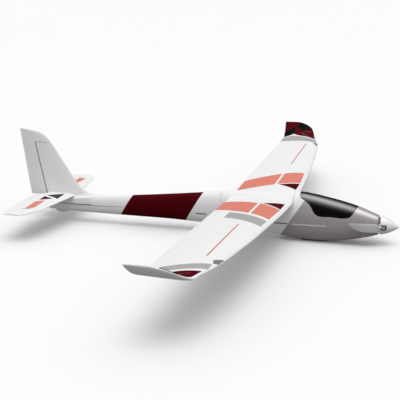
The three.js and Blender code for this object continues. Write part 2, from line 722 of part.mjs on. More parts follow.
// A round bar across the aircraft.
const spar = (half, radius, z, x) => rod(at(x, -half, z), at(x, half, z), radius);
const wingPanel = wingSkin
  .subtract(aileronRoom)
  .subtract(wireRoom)
  .subtract(servoRoom)
  .subtract(spar(WING_JOINER.half + 1, WING_JOINER.radius + GAP, WING_JOINER.z, SPAR_X));
addPair("wing_panel", wingPanel, FOAM);
addPair("aileron", aileron, FOAM);
addPair(
  "aileron_hinge_wire",
  rod(
    onAileronHinge(AILERON.inner - AILERON_WIRE.reach),
    onAileronHinge(AILERON.outer + AILERON_WIRE.reach),
    AILERON_WIRE.radius,
    undefined,
    8,
  ),
  STEEL,
);
addPair("aileron_servo", aileronServoCase.add(aileronShaftEnd), SERVO_BLUE);

const centreRing = (y) => wingRing({ ...wingAt(Math.abs(y)), y }).map((p) => p.setY(y));
const rootHalf = CENTRE_HALF - GAP / 2;
const SCREW = { y: 41.5, headRadius: 2.6, shankRadius: 1.3, head: 1.2, top: 58.4 };
const joinerBore = rod(
  at(SPAR_X, -60, WING_JOINER.z),
  at(SPAR_X, 60, WING_JOINER.z),
  WING_JOINER.radius + GAP,
);
const saddleBlock = bodyOuter.intersect(block(SADDLE_REAR, SADDLE_FRONT, -60, 60, SADDLE_HEIGHT, 90));
const centreSkin = loft([centreRing(-rootHalf), centreRing(0), centreRing(rootHalf)]);
let wingCentre = centreSkin.add(saddleBlock).subtract(joinerBore);
for (const side of [-1, 1]) {
  const y = side * SCREW.y;
  wingCentre = wingCentre
    .subtract(rod(at(SPAR_X, y, SCREW.top - SCREW.head - GAP), at(SPAR_X, y, 70), SCREW.headRadius + GAP))
    .subtract(rod(at(SPAR_X, y, WING_JOINER.z), at(SPAR_X, y, 70), SCREW.shankRadius + GAP));
}
add("wing_centre_section", wingCentre, FOAM);
const screwAt = (z) => at(SPAR_X, SCREW.y, z);
const screwHead = rod(screwAt(SCREW.top - SCREW.head), screwAt(SCREW.top), SCREW.headRadius);
const screwShank = rod(screwAt(WING_JOINER.z + 1.5), screwAt(SCREW.top - 0.5), SCREW.shankRadius);
addPair("wing_screw", screwHead.add(screwShank), WHITE_PLASTIC);
let wingJoiner = spar(WING_JOINER.half, WING_JOINER.radius, WING_JOINER.z, SPAR_X).subtract(
  spar(WING_JOINER.half + 5, WING_JOINER.radius - 1, WING_JOINER.z, SPAR_X),
);
for (const side of [-1, 1]) {
  const y = side * SCREW.y;
  const shankHole = rod(at(SPAR_X, y, WING_JOINER.z), at(SPAR_X, y, 60), SCREW.shankRadius + GAP);
  wingJoiner = wingJoiner.subtract(shankHole);
}
add("wing_joiner_tube", wingJoiner, CARBON);

// ---------------------------------------------------------------- stabilizer and elevator

const STAB_REAR_EDGE = 1.2;
const stabSkin = loft(
  STAB_PLAN.map(([y, lead, trail]) => {
    const chord = lead - trail;
    const outline = section(STAB_THICKNESS, 0, STAB_REAR_EDGE / chord);
    return outline.map(([x, height]) => at(lead - x * chord, y, STAB_HEIGHT + height * chord));
  }),
);

function elevatorNoseRadius([, lead, trail]) {
  const chord = lead - trail;
  return halfThickness((lead - ELEVATOR_HINGE) / chord, STAB_THICKNESS, chord, STAB_REAR_EDGE);
}

const ELEVATOR_ROOT = 9.7;
const rootNose = elevatorNoseRadius(STAB_PLAN[0]);
const tipNose = elevatorNoseRadius(STAB_PLAN[STAB_PLAN.length - 1]);
const elevatorArea = topProfile(
  [
    [ELEVATOR_HINGE, ELEVATOR_ROOT],
    [-640, ELEVATOR_ROOT + (ELEVATOR_HINGE + 640) * ELEVATOR_CUT],
    [-640, 260],
    [ELEVATOR_HINGE, 260],
  ].reverse(),
  0,
  60,
);
const elevatorNose = rod(
  at(ELEVATOR_HINGE, ELEVATOR_ROOT, STAB_HEIGHT),
  at(ELEVATOR_HINGE, STAB_PLAN[STAB_PLAN.length - 1][0] - 0.4, STAB_HEIGHT),
  rootNose,
  tipNose,
);
const elevatorJoinerRoom = rod(
  at(ELEVATOR_HINGE, 0, STAB_HEIGHT),
  at(ELEVATOR_HINGE, ELEVATOR_JOINER.half + GAP, STAB_HEIGHT),
  ELEVATOR_JOINER.radius + GAP,
);
addPair("elevator", stabSkin.intersect(elevatorArea).add(elevatorNose).subtract(elevatorJoinerRoom), FOAM);

const stabRear = topProfile(
  [
    [ELEVATOR_HINGE + rootNose + HINGE_GAP, 0],
    [ELEVATOR_HINGE + tipNose + HINGE_GAP, 230],
    [-450, 230],
    [-450, 0],
  ],
  0,
  60,
);
const stabJoinerRoom = spar(STAB_JOINER.half + 1, STAB_JOINER.radius + GAP, STAB_HEIGHT, STAB_JOINER.x);
addPair("stabilizer", stabSkin.intersect(stabRear).subtract(stabJoinerRoom), FOAM);
add(
  "stabilizer_joiner_tube",
  spar(STAB_JOINER.half, STAB_JOINER.radius, STAB_HEIGHT, STAB_JOINER.x).subtract(
    spar(STAB_JOINER.half + 5, STAB_JOINER.radius - 0.8, STAB_HEIGHT, STAB_JOINER.x),
  ),
  CARBON,
);
add(
  "elevator_joiner_rod",
  spar(ELEVATOR_JOINER.half, ELEVATOR_JOINER.radius, STAB_HEIGHT, ELEVATOR_HINGE),
  CARBON,
);

// ---------------------------------------------------------------- rudder

const noseLevels = [RUDDER_BOTTOM - 2, 34, 60, 100, BALANCE_CUT + 1];
const NOSE_SIDES = 14;
const noseRings = noseLevels.map((z) => {
  const radius = rudderNoseRadius(z);
  return Array.from({ length: NOSE_SIDES }, (_, i) => {
    const angle = (2 * Math.PI * i) / NOSE_SIDES;
    const point = at(radius * Math.cos(angle), radius * Math.sin(angle), 0);
    return point.applyAxisAngle(at(0, 1, 0), -RUDDER_LEAN).add(rudderHingeAt(z));
  });
});
const rudderWireBore = rod(
  rudderHingeAt(10),
  rudderHingeAt(RUDDER_WIRE.high + 1),
  RUDDER_WIRE.radius + GAP,
  undefined,
  8,
);
let rudder = finSkin.intersect(besideRudderHinge(0, false));
rudder = rudder.add(finSkin.intersect(above(BALANCE_CUT))).add(loft(noseRings));
rudder = rudder.intersect(above(RUDDER_BOTTOM)).subtract(rudderWireBore);
add("rudder", rudder, FOAM);
add(
  "rudder_hinge_wire",
  rod(rudderHingeAt(RUDDER_WIRE.low), rudderHingeAt(RUDDER_WIRE.high), RUDDER_WIRE.radius, undefined, 8),
  STEEL,
);

// ---------------------------------------------------------------- servos, arms, horns and pushrods

// An arm plate in its own plane: from the shaft to the pushrod's hole, pointing along -Z.
function armOutline(length, rootHalf, tipHalf) {
  return [
    [-rootHalf, 0],
    [-rootHalf * 0.7, rootHalf * 0.75],
    [0, rootHalf * 1.05],
    [rootHalf * 0.7, rootHalf * 0.75],
    [rootHalf, 0],
    [tipHalf, -length - 0.8],
    [tipHalf * 0.6, -length - tipHalf - 0.4],
    [-tipHalf * 0.6, -length - tipHalf - 0.4],
    [-tipHalf, -length - 0.8],
  ];
}

// A horn in the same plane: its top edge lies along the control surface, its foot carries a flange.
function hornOutline(length, front, rear, top) {
  return [
    [front, -top],
    [2.4, -length - 1],
    [1.4, -length - 2.6],
    [-1.4, -length - 2.6],
    [-2.6, -length - 1],
    [-rear, -top],
  ];
}

const PIN_HOLE = 1.1;
const crossPin = (x, z, y0, y1, radius) => rod(at(x, y0, z), at(x, y1, z), radius, undefined, 10);

// Aileron linkage, made about the hinge and carried to its place.
const AILERON_ROD_Y = 3.6;
const carried = (solid, matrix) => solidOf(geometryOf(solid).applyMatrix4(matrix));
const aileronArm = sideProfile(armOutline(AILERON_ARM, 3.4, 2.4), 0.2, 1.7)
  .subtract(crossPin(0, -AILERON_ARM, -1, 3, PIN_HOLE));
const shaftShift = new THREE.Matrix4().makeTranslation(AILERON_SHAFT.x, 0, AILERON_SHAFT.z);
addPair(
  "aileron_servo_arm",
  carried(aileronArm, new THREE.Matrix4().multiplyMatrices(aileronFrame, shaftShift)),
  WHITE_PLASTIC,
);
const aileronHorn = sideProfile(hornOutline(AILERON_ARM, 0.5, 12, 3.6), 0.2, 1.7)
  .add(block(-12.5, 0.4, -4, 6, -4.4, -3.3))
  .subtract(crossPin(0, -AILERON_ARM, -1, 3, PIN_HOLE));
addPair("aileron_horn", carried(aileronHorn, aileronFrame), WHITE_PLASTIC);

// A pushrod with its two bent ends: the bends run along given directions, into the arm and the horn.
function pushrod(front, rear, frontBend, rearBend = frontBend) {
  const bentEnd = (end, bend) => {
    const over = bend.clone().normalize().multiplyScalar(-ROD_RADIUS * 0.9);
    return rod(end.clone().add(over), end.clone().add(bend), ROD_RADIUS, undefined, 8);
  };
  const straight = rod(front, rear, ROD_RADIUS, undefined, 8);
  return straight.add(bentEnd(front, frontBend)).add(bentEnd(rear, rearBend));
}

const aileronBend = aileronPoint(0, -4.2, 0).sub(aileronPoint(0, 0, 0));
addPair(
  "aileron_pushrod",
  pushrod(
    aileronPoint(AILERON_SHAFT.x, AILERON_ROD_Y, AILERON_SHAFT.z - AILERON_ARM),
    aileronPoint(0, AILERON_ROD_Y, -AILERON_ARM),
    aileronBend,
  ),
  STEEL,
);

// Elevator linkage on the right side of the boom.
const elevatorPlate = [ELEVATOR_ROD_Y + ARM_PLATE[0], ELEVATOR_ROD_Y + ARM_PLATE[1]];
const elevatorArm = sideProfile(
  armOutline(TAIL_ARM, 3.4, 2.4).map(([x, z]) => [x + ELEVATOR_SERVO_X, z + STAB_HEIGHT]),
  ...elevatorPlate,
).subtract(crossPin(ELEVATOR_SERVO_X, ELEVATOR_ROD_Z, ELEVATOR_ROD_Y, ELEVATOR_ROD_Y + 4, PIN_HOLE));
add("elevator_servo_arm", elevatorArm, WHITE_PLASTIC);
const elevatorShaftEnd = rod(
  at(ELEVATOR_SERVO_X, ELEVATOR_ROD_Y + ARM_PLATE[1] + GAP, STAB_HEIGHT),
  at(ELEVATOR_SERVO_X, ELEVATOR_ROD_Y + SERVO_CLEAR + 1, STAB_HEIGHT),
  SHAFT_END_RADIUS,
);
add("elevator_servo", elevatorServoSolid(0).add(elevatorShaftEnd), SERVO_BLUE);
const ELEVATOR_HORN_TOP = 4;
const hornY = [ELEVATOR_ROD_Y - ARM_PLATE[1], ELEVATOR_ROD_Y - ARM_PLATE[0]];
const elevatorHorn = sideProfile(
  hornOutline(TAIL_ARM, 0.5, 9, ELEVATOR_HORN_TOP).map(([x, z]) => [x + ELEVATOR_HINGE, z + STAB_HEIGHT]),
  ...hornY,
)
  .add(block(ELEVATOR_HINGE - 9, ELEVATOR_HINGE + 0.4, hornY[0] - 4.5, hornY[1] - 0.3, 19.7, 20.7))
  .subtract(crossPin(ELEVATOR_HINGE, ELEVATOR_ROD_Z, ELEVATOR_ROD_Y - 4, ELEVATOR_ROD_Y, PIN_HOLE));
add("elevator_horn", elevatorHorn, WHITE_PLASTIC);
const elevatorBend = at(0, 3.4, 0); // the front end turns inboard and the rear end outboard
add(
  "elevator_pushrod",
  pushrod(
    elevatorRodAt(ELEVATOR_SERVO_X),
    elevatorRodAt(ELEVATOR_HINGE),
    elevatorBend,
    elevatorBend.clone().negate(),
  ),
  STEEL,
);
const elevatorTubeEnds = [
  elevatorRodAt(ELEVATOR_TUBE.front, ELEVATOR_TUBE.lift),
  elevatorRodAt(ELEVATOR_TUBE.rear, ELEVATOR_TUBE.lift),
];
function hollowRod(from, to, outer, inner) {
  const along = new THREE.Vector3().subVectors(to, from).normalize().multiplyScalar(3);
  return rod(from, to, outer).subtract(rod(from.clone().sub(along), to.clone().add(along), inner));
}
const elevatorTube = hollowRod(...elevatorTubeEnds, ELEVATOR_TUBE.outer, ELEVATOR_TUBE.inner);
add("elevator_guide_tube", elevatorTube, WHITE_PLASTIC);

// Rudder linkage: the arm and the horn both point to the left, in planes square to the hinge.
// An XZ outline becomes an XY one, pointing to +Y.
const plateTurn = new THREE.Matrix4().makeRotationX(Math.PI / 2);
const rudderHornFrame = new THREE.Matrix4()
  .makeRotationY(-RUDDER_LEAN)
  .setPosition(RUDDER_ROD_REAR.clone().sub(at(0, RUDDER_ARM, 0)));
function rudderPlate(outline, frame) {
  const plate = sideProfile(outline, ...RUDDER_PLATE).subtract(crossPin(0, -RUDDER_ARM, 0, 5, PIN_HOLE));
  return carried(carried(plate, plateTurn), frame);
}
add("rudder_servo_arm", rudderPlate(armOutline(RUDDER_ARM, 3.4, 2.4), rudderServoFrame), WHITE_PLASTIC);
const rudderShaftEnd = rod(at(0, 0, RUDDER_PLATE[1] + GAP), at(0, 0, RUDDER_CLEAR + 1), SHAFT_END_RADIUS);
add("rudder_servo", rudderServoSolid(0).add(carried(rudderShaftEnd, rudderServoFrame)), SERVO_BLUE);
add("rudder_horn", rudderPlate(hornOutline(RUDDER_ARM, 1.5, 12, 4.7), rudderHornFrame), WHITE_PLASTIC);
const rudderAxis = at(-Math.sin(RUDDER_LEAN), 0, Math.cos(RUDDER_LEAN));
add(
  "rudder_pushrod",
  pushrod(RUDDER_ROD_FRONT, RUDDER_ROD_REAR, rudderAxis.clone().multiplyScalar(RUDDER_PLATE[1] + 0.7)),
  STEEL,
);
const rudderTubeEnds = [rudderRodAt(RUDDER_TUBE.front), rudderRodAt(RUDDER_TUBE.rear)];
add("rudder_guide_tube", hollowRod(...rudderTubeEnds, RUDDER_TUBE.outer, RUDDER_TUBE.inner), WHITE_PLASTIC);

// ---------------------------------------------------------------- equipment bay

const BATTERY = { rear: 88, front: 193, half: 17, low: -22, high: 2 };
const tray = topProfile(roundedOutline(78, 195, -16, 16, 3), LEDGE_TOP + GAP, LEDGE_TOP + GAP + 1.6);
add("battery_tray", tray, PLYWOOD);
const batteryFace = roundedOutline(-BATTERY.half, BATTERY.half, BATTERY.low, BATTERY.high, 3);
const battery = sideProfile(batteryFace, BATTERY.rear, BATTERY.front);
const quarterTurn = new THREE.Matrix4().makeRotationZ(-Math.PI / 2);
add("battery_pack", carried(battery, quarterTurn), BATTERY_FILM);
const strapRing = (grow) =>
  sideProfile(
    roundedOutline(-BATTERY.half - grow, BATTERY.half + grow, LEDGE_TOP - 0.2 - grow, BATTERY.high + grow, 3),
    STRAP.rear,
    STRAP.front,
  );
const strapInside = sideProfile(
  roundedOutline(-BATTERY.half - GAP, BATTERY.half + GAP, LEDGE_TOP - 0.2, BATTERY.high + GAP, 2.5),
  STRAP.rear - 5,
  STRAP.front + 5,
);
add("battery_strap", carried(strapRing(1.3).subtract(strapInside), quarterTurn), HOOK_TAPE);
add("speed_controller", block(32, 74, -12, 12, LEDGE_TOP + GAP, LEDGE_TOP + 8), BLACK_PLASTIC);
add("receiver", block(BAY_REAR + GAP, BAY_REAR + 10, -11, 11, -8, 22), BLACK_PLASTIC);

// ---------------------------------------------------------------- motor, spinner and folding propeller

const power = new THREE.Group();
power.rotation.y = DOWN_THRUST;
power.position.copy(NOSE);
datum.add(power);

const ring = (inner, outer, x0, x1, sides) =>
  turned([[inner, x0], [outer, x0], [outer, x1], [inner, x1], [inner, x0]], sides);
const SHAFT_RADIUS = 1.5;
const SHAFT_BORE = SHAFT_RADIUS + GAP;
add("firewall", ring(4, FIREWALL_RADIUS, -5.6, -2.6, 24), PLYWOOD, power);
const statorProfile = [
  [2, -27],
  [3.6, -27],
  [3.6, -24],
  [10.8, -24],
  [10.8, -12],
  [3.6, -12],
  [3.6, -9],
  [12, -9],
  [12, -6],
  [2, -6],
  [2, -27],
];
add("motor_stator", turned(statorProfile), COPPER, power);
const bellProfile = [
  [SHAFT_BORE, -31],
  [13.2, -31],
  [14, -30],
  [14, -11],
  [11.4, -11],
  [11.4, -28.5],
  [SHAFT_BORE, -28.5],
  [SHAFT_BORE, -31],
];
add("motor_bell", turned(bellProfile), ALUMINIUM, power);
add("motor_shaft", rod(at(-33, 0, 0), at(16, 0, 0), SHAFT_RADIUS), STEEL, power);
add("spinner_backplate", ring(SHAFT_BORE, 19.4, 4.4, 5.8, 24), ALUMINIUM, power);

const YOKE = { rear: 8, front: 16, reach: 25, slot: 3.3, half: 5.4, hubRadius: 6 };
// A round bar on the fold axis of the blade on one side, reaching the same distance up and down.
const onFoldAxis = (side, reach, radius) =>
  rod(at(BLADE.pivotX, side * BLADE.pivotR, -reach), at(BLADE.pivotX, side * BLADE.pivotR, reach), radius);
const bladeHole = (side) => onFoldAxis(side, 9, 1.4);
let yoke = block(YOKE.rear, YOKE.front, -YOKE.reach, YOKE.reach, -YOKE.half, YOKE.half)
  .subtract(block(0, 30, 9, 40, -YOKE.slot, YOKE.slot))
  .subtract(block(0, 30, -40, -9, -YOKE.slot, YOKE.slot));
yoke = yoke
  .add(rod(at(YOKE.rear - 1, 0, 0), at(YOKE.front + 1, 0, 0), YOKE.hubRadius))
  .subtract(rod(at(0, 0, 0), at(30, 0, 0), SHAFT_BORE))
  .subtract(bladeHole(1))
  .subtract(bladeHole(-1));
add("blade_yoke", yoke, ALUMINIUM, power);

const spinnerLength = SPINNER.tip - SPINNER.base;
const ogive = (share, radius) => radius * (1 - share ** 1.6);
const spinnerSteps = 7;
const spinnerOuter = Array.from({ length: spinnerSteps + 1 }, (_, i) => {
  const share = i / spinnerSteps;
  return [ogive(share, SPINNER.radius), SPINNER.base + share * spinnerLength];
});
const spinnerInner = spinnerOuter.map(([radius, x], i) => {
  const share = i / spinnerSteps;
  return [ogive(share, SPINNER.radius - SPINNER.wall), x - 2.5 * share];
});
const spinnerSlots = block(-2, 18.5, 9, 30, -6.3, 6.3).add(block(-2, 18.5, -30, -9, -6.3, 6.3));
const spinner = turned([...spinnerInner.reverse(), ...spinnerOuter]).subtract(spinnerSlots);
add("spinner", spinner, GREY_PLASTIC, power);

// Blade stations: distance from the pivot, upper edge, lower edge, thickness and pitch in degrees.
const BLADE_STATIONS = [
  [0, 2.8, -2.8, 4.6, 0],
  [6, 2.9, -2.9, 4.4, 2],
  [9, 3.4, -8.2, 3.8, 8],
  [13, 5, -11.2, 3.2, 13],
  [20, 7.8, -11.8, 2.7, 16],
  [30, 8, -11.8, 2.3, 17],
  [45, 8, -11.4, 1.9, 14],
  [60, 8.2, -9.2, 1.5, 11],
  [72, 8.2, -4.6, 1.3, 9],
  [80, 8, 0.6, 1.1, 8],
  [BLADE.length, 7.4, 5, 0.9, 8],
];
const outward = at(-Math.cos(BLADE.restAngle), -Math.sin(BLADE.restAngle), 0);
const faceNormal = at(Math.sin(BLADE.restAngle), -Math.cos(BLADE.restAngle), 0);
const pivot = at(BLADE.pivotX, -BLADE.pivotR, 0);
const bladeRings = BLADE_STATIONS.map(([along, upper, lower, thickness, pitch]) => {
  const chord = upper - lower;
  const tilt = THREE.MathUtils.degToRad(pitch);
  return section(thickness / chord, 0.02, 0.4 / chord, 5).map(([x, height]) => {
    const across = upper - x * chord;
    const off = height * chord;
    const z = across * Math.cos(tilt) + off * Math.sin(tilt);
    const n = -across * Math.sin(tilt) + off * Math.cos(tilt);
    return pivot.clone().addScaledVector(outward, along).addScaledVector(faceNormal, n).add(at(0, 0, z));
  });
});
const lug = onFoldAxis(-1, 2.9, 3.6);
const blade = loft(bladeRings).add(lug).subtract(bladeHole(-1));
const bladePin = onFoldAxis(-1, 6.2, 1.1);
const farBlade = new THREE.Group();
farBlade.rotation.x = Math.PI;
power.add(farBlade);
add("blade_right", blade, GREY_PLASTIC, power);
add("blade_pin_right", bladePin, STEEL, power);
add("blade_left", blade, GREY_PLASTIC, farBlade);
add("blade_pin_left", bladePin, STEEL, farBlade);

export default sailplane;
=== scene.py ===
import json
import math

import bpy
import numpy as np
from mathutils import Matrix, Vector


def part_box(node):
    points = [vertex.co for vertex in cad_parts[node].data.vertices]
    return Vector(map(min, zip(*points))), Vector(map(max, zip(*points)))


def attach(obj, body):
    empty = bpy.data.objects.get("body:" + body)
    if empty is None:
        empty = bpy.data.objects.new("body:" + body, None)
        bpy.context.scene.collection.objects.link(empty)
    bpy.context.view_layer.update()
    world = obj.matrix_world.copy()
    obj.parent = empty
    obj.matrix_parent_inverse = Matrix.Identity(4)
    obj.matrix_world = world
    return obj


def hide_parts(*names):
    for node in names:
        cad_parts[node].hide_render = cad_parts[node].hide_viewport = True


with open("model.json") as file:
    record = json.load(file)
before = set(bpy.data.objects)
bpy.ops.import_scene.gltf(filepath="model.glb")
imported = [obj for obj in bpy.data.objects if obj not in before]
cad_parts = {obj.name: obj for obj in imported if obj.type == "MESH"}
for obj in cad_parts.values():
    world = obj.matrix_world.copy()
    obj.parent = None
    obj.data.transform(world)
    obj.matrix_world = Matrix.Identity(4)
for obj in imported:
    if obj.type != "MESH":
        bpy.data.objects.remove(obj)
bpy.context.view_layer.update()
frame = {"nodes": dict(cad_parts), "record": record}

MM = 0.001
nodes = frame["nodes"]

SKID_MIDDLE = 102.5  # the belly skid's middle and its flat face, seen from the datum
SKID_FACE = -45.0
skid_low, skid_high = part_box("belly_skid")
DATUM = np.array(((skid_low.x + skid_high.x) / 2 - SKID_MIDDLE * MM, 0, skid_low.z - SKID_FACE * MM))


def placed(points):
    return np.asarray(points, float) * MM + DATUM


def box_of(node):
    """Lowest and highest corner of a CAD node, in millimetres from the datum."""
    return [(np.array(corner) - DATUM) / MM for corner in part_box(node)]


def middle_of(node):
    return np.mean(box_of(node), axis=0)


# ---------------------------------------------------------------- curves and sections

def smooth_curve(stations, values, places):
    """Rows of values at the given places on a smooth curve through (stations, values)."""
    stations = np.asarray(stations, float)
    values = np.asarray(values, float).reshape(len(stations), -1)
    if stations[0] > stations[-1]:
        stations, values = stations[::-1], values[::-1]
    places = np.atleast_1d(np.asarray(places, float))
    slopes = np.gradient(values, stations, axis=0)
    i = np.clip(np.searchsorted(stations, places) - 1, 0, len(stations) - 2)
    step = (stations[i + 1] - stations[i])[:, None]
    t = np.clip((places - stations[i])[:, None] / step, 0, 1)
    rise = t * t * (3 - 2 * t)
    leaving = t * (1 - t) ** 2 * step * slopes[i]
    arriving = t * t * (1 - t) * step * slopes[i + 1]
    return values[i] * (1 - rise) + values[i + 1] * rise + leaving - arriving


def full_turn(count):
    """Even angles round a circle."""
    return np.linspace(0, 2 * math.pi, count, endpoint=False)


def squared_circle(turn, power):
    """Shares across and up of a circle that is pushed out towards its square as the power falls below 1."""
    cosine, sine = np.cos(turn), np.sin(turn)
    return np.sign(cosine) * np.abs(cosine) ** power, np.sign(sine) * np.abs(sine) ** power


def distances_along(points):
    """How far each point lies along the line through all of them."""
    steps = np.linalg.norm(np.diff(points, axis=0), axis=1)
    return np.concatenate(([0], np.cumsum(steps)))


def rounding(distance, radius):
    """How far a face is drawn in at this distance from an end rounded with this radius."""
    reach = np.clip(radius - distance, 0, radius)
    return radius - math.sqrt(max(radius * radius - reach * reach, 0))


def thinned(distance, radius, taken=0.95):
    """Share of its thickness that a surface keeps at this distance from a rounded end."""
    return 1 - rounding(distance, radius) / radius * taken


def foil(shares, thickness, camber, rear_edge):
    """Upper and lower heights of a wing section at chord shares, as shares of the chord."""
    crest = 0.4
    x = np.asarray(shares, float)
    form = 0.2969 * np.sqrt(x) - 0.126 * x - 0.3516 * x**2 + 0.2843 * x**3 - 0.1036 * x**4
    half = 5 * thickness * form + rear_edge * x / 2
    parabola = 2 * crest * x - x * x
    rise = np.where(x < crest, parabola / crest**2, (1 - 2 * crest + parabola) / (1 - crest) ** 2)
    return camber * rise + half, camber * rise - half


class Station:
    """One section of a lifting surface: its leading edge, chord, upward direction and form."""

    def __init__(self, lead, chord, up, thickness, camber=0.0, rear_edge=0.0, incidence=0.0):
        self.lead = np.asarray(lead, float)
        self.chord = chord
        self.up = np.asarray(up, float)
        self.form = (thickness, camber, rear_edge / chord)
        self.incidence = incidence

    def points(self, shares, heights):
        shares = np.asarray(shares, float)
        rise = (heights + (1 - shares) * self.incidence) * self.chord
        back = np.outer(shares * self.chord, (-1, 0, 0))
        return self.lead + back + np.outer(rise, self.up)

    def ring(self, steps=30):
        """From the upper rear edge round the nose to the lower rear edge."""
        shares = (1 - np.cos(np.linspace(0, math.pi, steps + 1))) / 2
        upper, lower = foil(shares, *self.form)
        top = self.points(shares, upper)[::-1]
        return np.vstack((top, self.points(shares, lower)[1:]))

    def hinge(self, x):
        """Middle and half thickness of the section at a station x."""
        share = (self.lead[0] - x) / self.chord
        upper, lower = foil(share, *self.form)
        middle = self.points([share], np.array([(upper + lower) / 2]))[0]
        return share, middle, float(upper - lower) / 2 * self.chord

    def flap_ring(self, x, steps=14):
        """The part behind a hinge, with a round nose about the hinge."""
        share, middle, radius = self.hinge(x)
        shares = 1 - (1 - share) * np.linspace(0, 1, steps + 1)
        upper, lower = foil(shares, *self.form)
        turn = np.linspace(0, math.pi, 13)[1:-1]
        nose = middle + np.outer(np.sin(turn) * radius, (1, 0, 0)) + np.outer(np.cos(turn) * radius, self.up)
        return np.vstack((self.points(shares, upper), nose, self.points(shares, lower)[::-1]))

    def cove_ring(self, x, gap):
        """Room for the flap: a hollow about the hinge, and everything behind it."""
        _, middle, radius = self.hinge(x)
        turn = np.linspace(0, math.pi, 15)
        forward = np.outer(np.sin(turn), (1, 0, 0))
        hollow = middle + (forward + np.outer(np.cos(turn), self.up)) * (radius + gap)
        reach = 4 * radius
        rear = np.array((-self.chord, 0, 0))
        above, below = middle + self.up * reach, middle - self.up * reach
        return np.array([above + rear, above, *hollow, below, below + rear])


# ---------------------------------------------------------------- meshes

def add_object(name, data):
    made = bpy.data.objects.new(name, data)
    bpy.context.scene.collection.objects.link(made)
    return made


def mesh_object(name, points, faces):
    mesh = bpy.data.meshes.new(name)
    mesh.from_pydata([tuple(p) for p in placed(points)], [], faces)
    mesh.update()
    return add_object(name, mesh)


def skin(rings, name="skin"):
    """A closed mesh over rings that all have the same number of points."""
    rings = np.asarray(rings, float)
    count, around = rings.shape[:2]
    faces = []
    for ring in range(count - 1):
        for i in range(around):
            j = (i + 1) % around
            here, there = ring * around, (ring + 1) * around
            faces.append([here + i, here + j, there + j, there + i])
    faces.append(list(range(around))[::-1])
    faces.append(list(range((count - 1) * around, count * around)))
    points = rings.reshape(-1, 3)
    if signed_volume(points, faces) < 0:
        faces = [face[::-1] for face in faces]
    return mesh_object(name, points, faces)


def signed_volume(points, faces):
    total = 0.0
    for face in faces:
        first = points[face[0]]
        for a, b in zip(face[1:], face[2:]):
            total += float(np.dot(first, np.cross(points[a], points[b])))
    return total


def prism(outline, axis, low, high):
    """An outline in the plane square to an axis, swept along it from low to high."""
    outline = np.asarray(outline, float)
    rings = [np.insert(outline, axis, level, axis=1) for level in (low, high)]
    return skin(rings, "prism")


def block(low, high):
    (x0, y0, z0), (x1, y1, z1) = low, high
    return prism([(y0, z0), (y1, z0), (y1, z1), (y0, z1)], 0, x0, x1)


def bar(start, end, radius, sides=24):
    """A round bar between two points."""
    start, end = np.asarray(start, float), np.asarray(end, float)
    along = (end - start) / np.linalg.norm(end - start)
    across = np.cross(along, (0, 0, 1) if abs(along[2]) < 0.9 else (1, 0, 0))
    across /= np.linalg.norm(across)
    third = np.cross(along, across)
    turn = full_turn(sides)
    circle = np.outer(np.cos(turn), across) + np.outer(np.sin(turn), third)
    return skin([start + circle * radius, end + circle * radius], "bar")


def combine(first, others, operation):
    """Works the others into the first object, one by one, and removes them."""
    for other in others:
        modifier = first.modifiers.new("combine", "BOOLEAN")
        modifier.solver = "MANIFOLD"
        modifier.operation = operation
        modifier.object = other
        depsgraph = bpy.context.evaluated_depsgraph_get()
        made = bpy.data.meshes.new_from_object(first.evaluated_get(depsgraph), depsgraph=depsgraph)
        first.modifiers.clear()
        first.data = made
        bpy.data.objects.remove(other)
    return first


def join(first, *others):
    return combine(first, others, "UNION")


def cut(first, *others):
    return combine(first, others, "DIFFERENCE")


def meet(first, *others):
    return combine(first, others, "INTERSECT")


def copy_of(thing):
    return add_object(thing.name, thing.data.copy())


def mirrored(thing):
    """The same piece on the other side of the plane of symmetry."""
    made = copy_of(thing)
    made.data.transform(Matrix.Scale(-1, 4, (0, 1, 0)))
    made.data.flip_normals()
    return made


SHARP = 38  # degrees from which an edge stays sharp


def show(thing, name, body, material, slot, *stands_for, sharp=SHARP):
    """Names a finished piece, shades it, and puts it on its body, in place of CAD nodes if any are given."""
    thing.name = name
    thing.data.name = name
    thing.data.shade_smooth()
    thing.data.set_sharp_from_angle(angle=math.radians(sharp))
    thing.data.materials.clear()
    thing.data.materials.append(material)
    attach(thing, body)
    if stands_for:
        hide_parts(*stands_for)


# ---------------------------------------------------------------- material tools

def feed(tree, socket, value):
    """Sets an input to a number or a colour, or links a field or another socket to it."""
    if isinstance(value, Field):
        value = value.source
    if isinstance(value, bpy.types.NodeSocket):
        tree.links.new(value, socket)
    elif socket.type == "RGBA":
        socket.default_value = (*value, 1)
    else:
        socket.default_value = value


def parts_of(tree, socket):
    """The x, y and z of a vector socket, as fields."""
    split = tree.nodes.new("ShaderNodeSeparateXYZ")
    tree.links.new(socket, split.inputs[0])
    return [Field(tree, output) for output in split.outputs]


class Field:
    """A number that varies over a surface. Arithmetic on it adds math nodes."""

    def __init__(self, tree, source):
        self.tree = tree
        self.source = source

    def worked(self, operation, *others, clamp=False):
        node = self.tree.nodes.new("ShaderNodeMath")
        node.operation = operation
        node.use_clamp = clamp
        for socket, value in zip(node.inputs, (self, *others)):
            feed(self.tree, socket, value)
        return Field(self.tree, node.outputs[0])

    def __add__(self, other):
        return self.worked("ADD", other)

    def __sub__(self, other):
        return self.worked("SUBTRACT", other)

    def __mul__(self, other):
        return self.worked("MULTIPLY", other)

    def __neg__(self):
        return self.worked("MULTIPLY", -1.0)

    def size(self):
        return self.worked("ABSOLUTE")

    def least(self, other):
        return self.worked("MINIMUM", other)

    def most(self, other):
        return self.worked("MAXIMUM", other)


PAINT_EDGE = 0.5  # millimetres over which a painted edge fades


def past(distance):
    """1 where a distance in millimetres is positive and 0 where it is negative."""
    return (distance * (1 / PAINT_EDGE)).worked("ADD", 0.5, clamp=True)


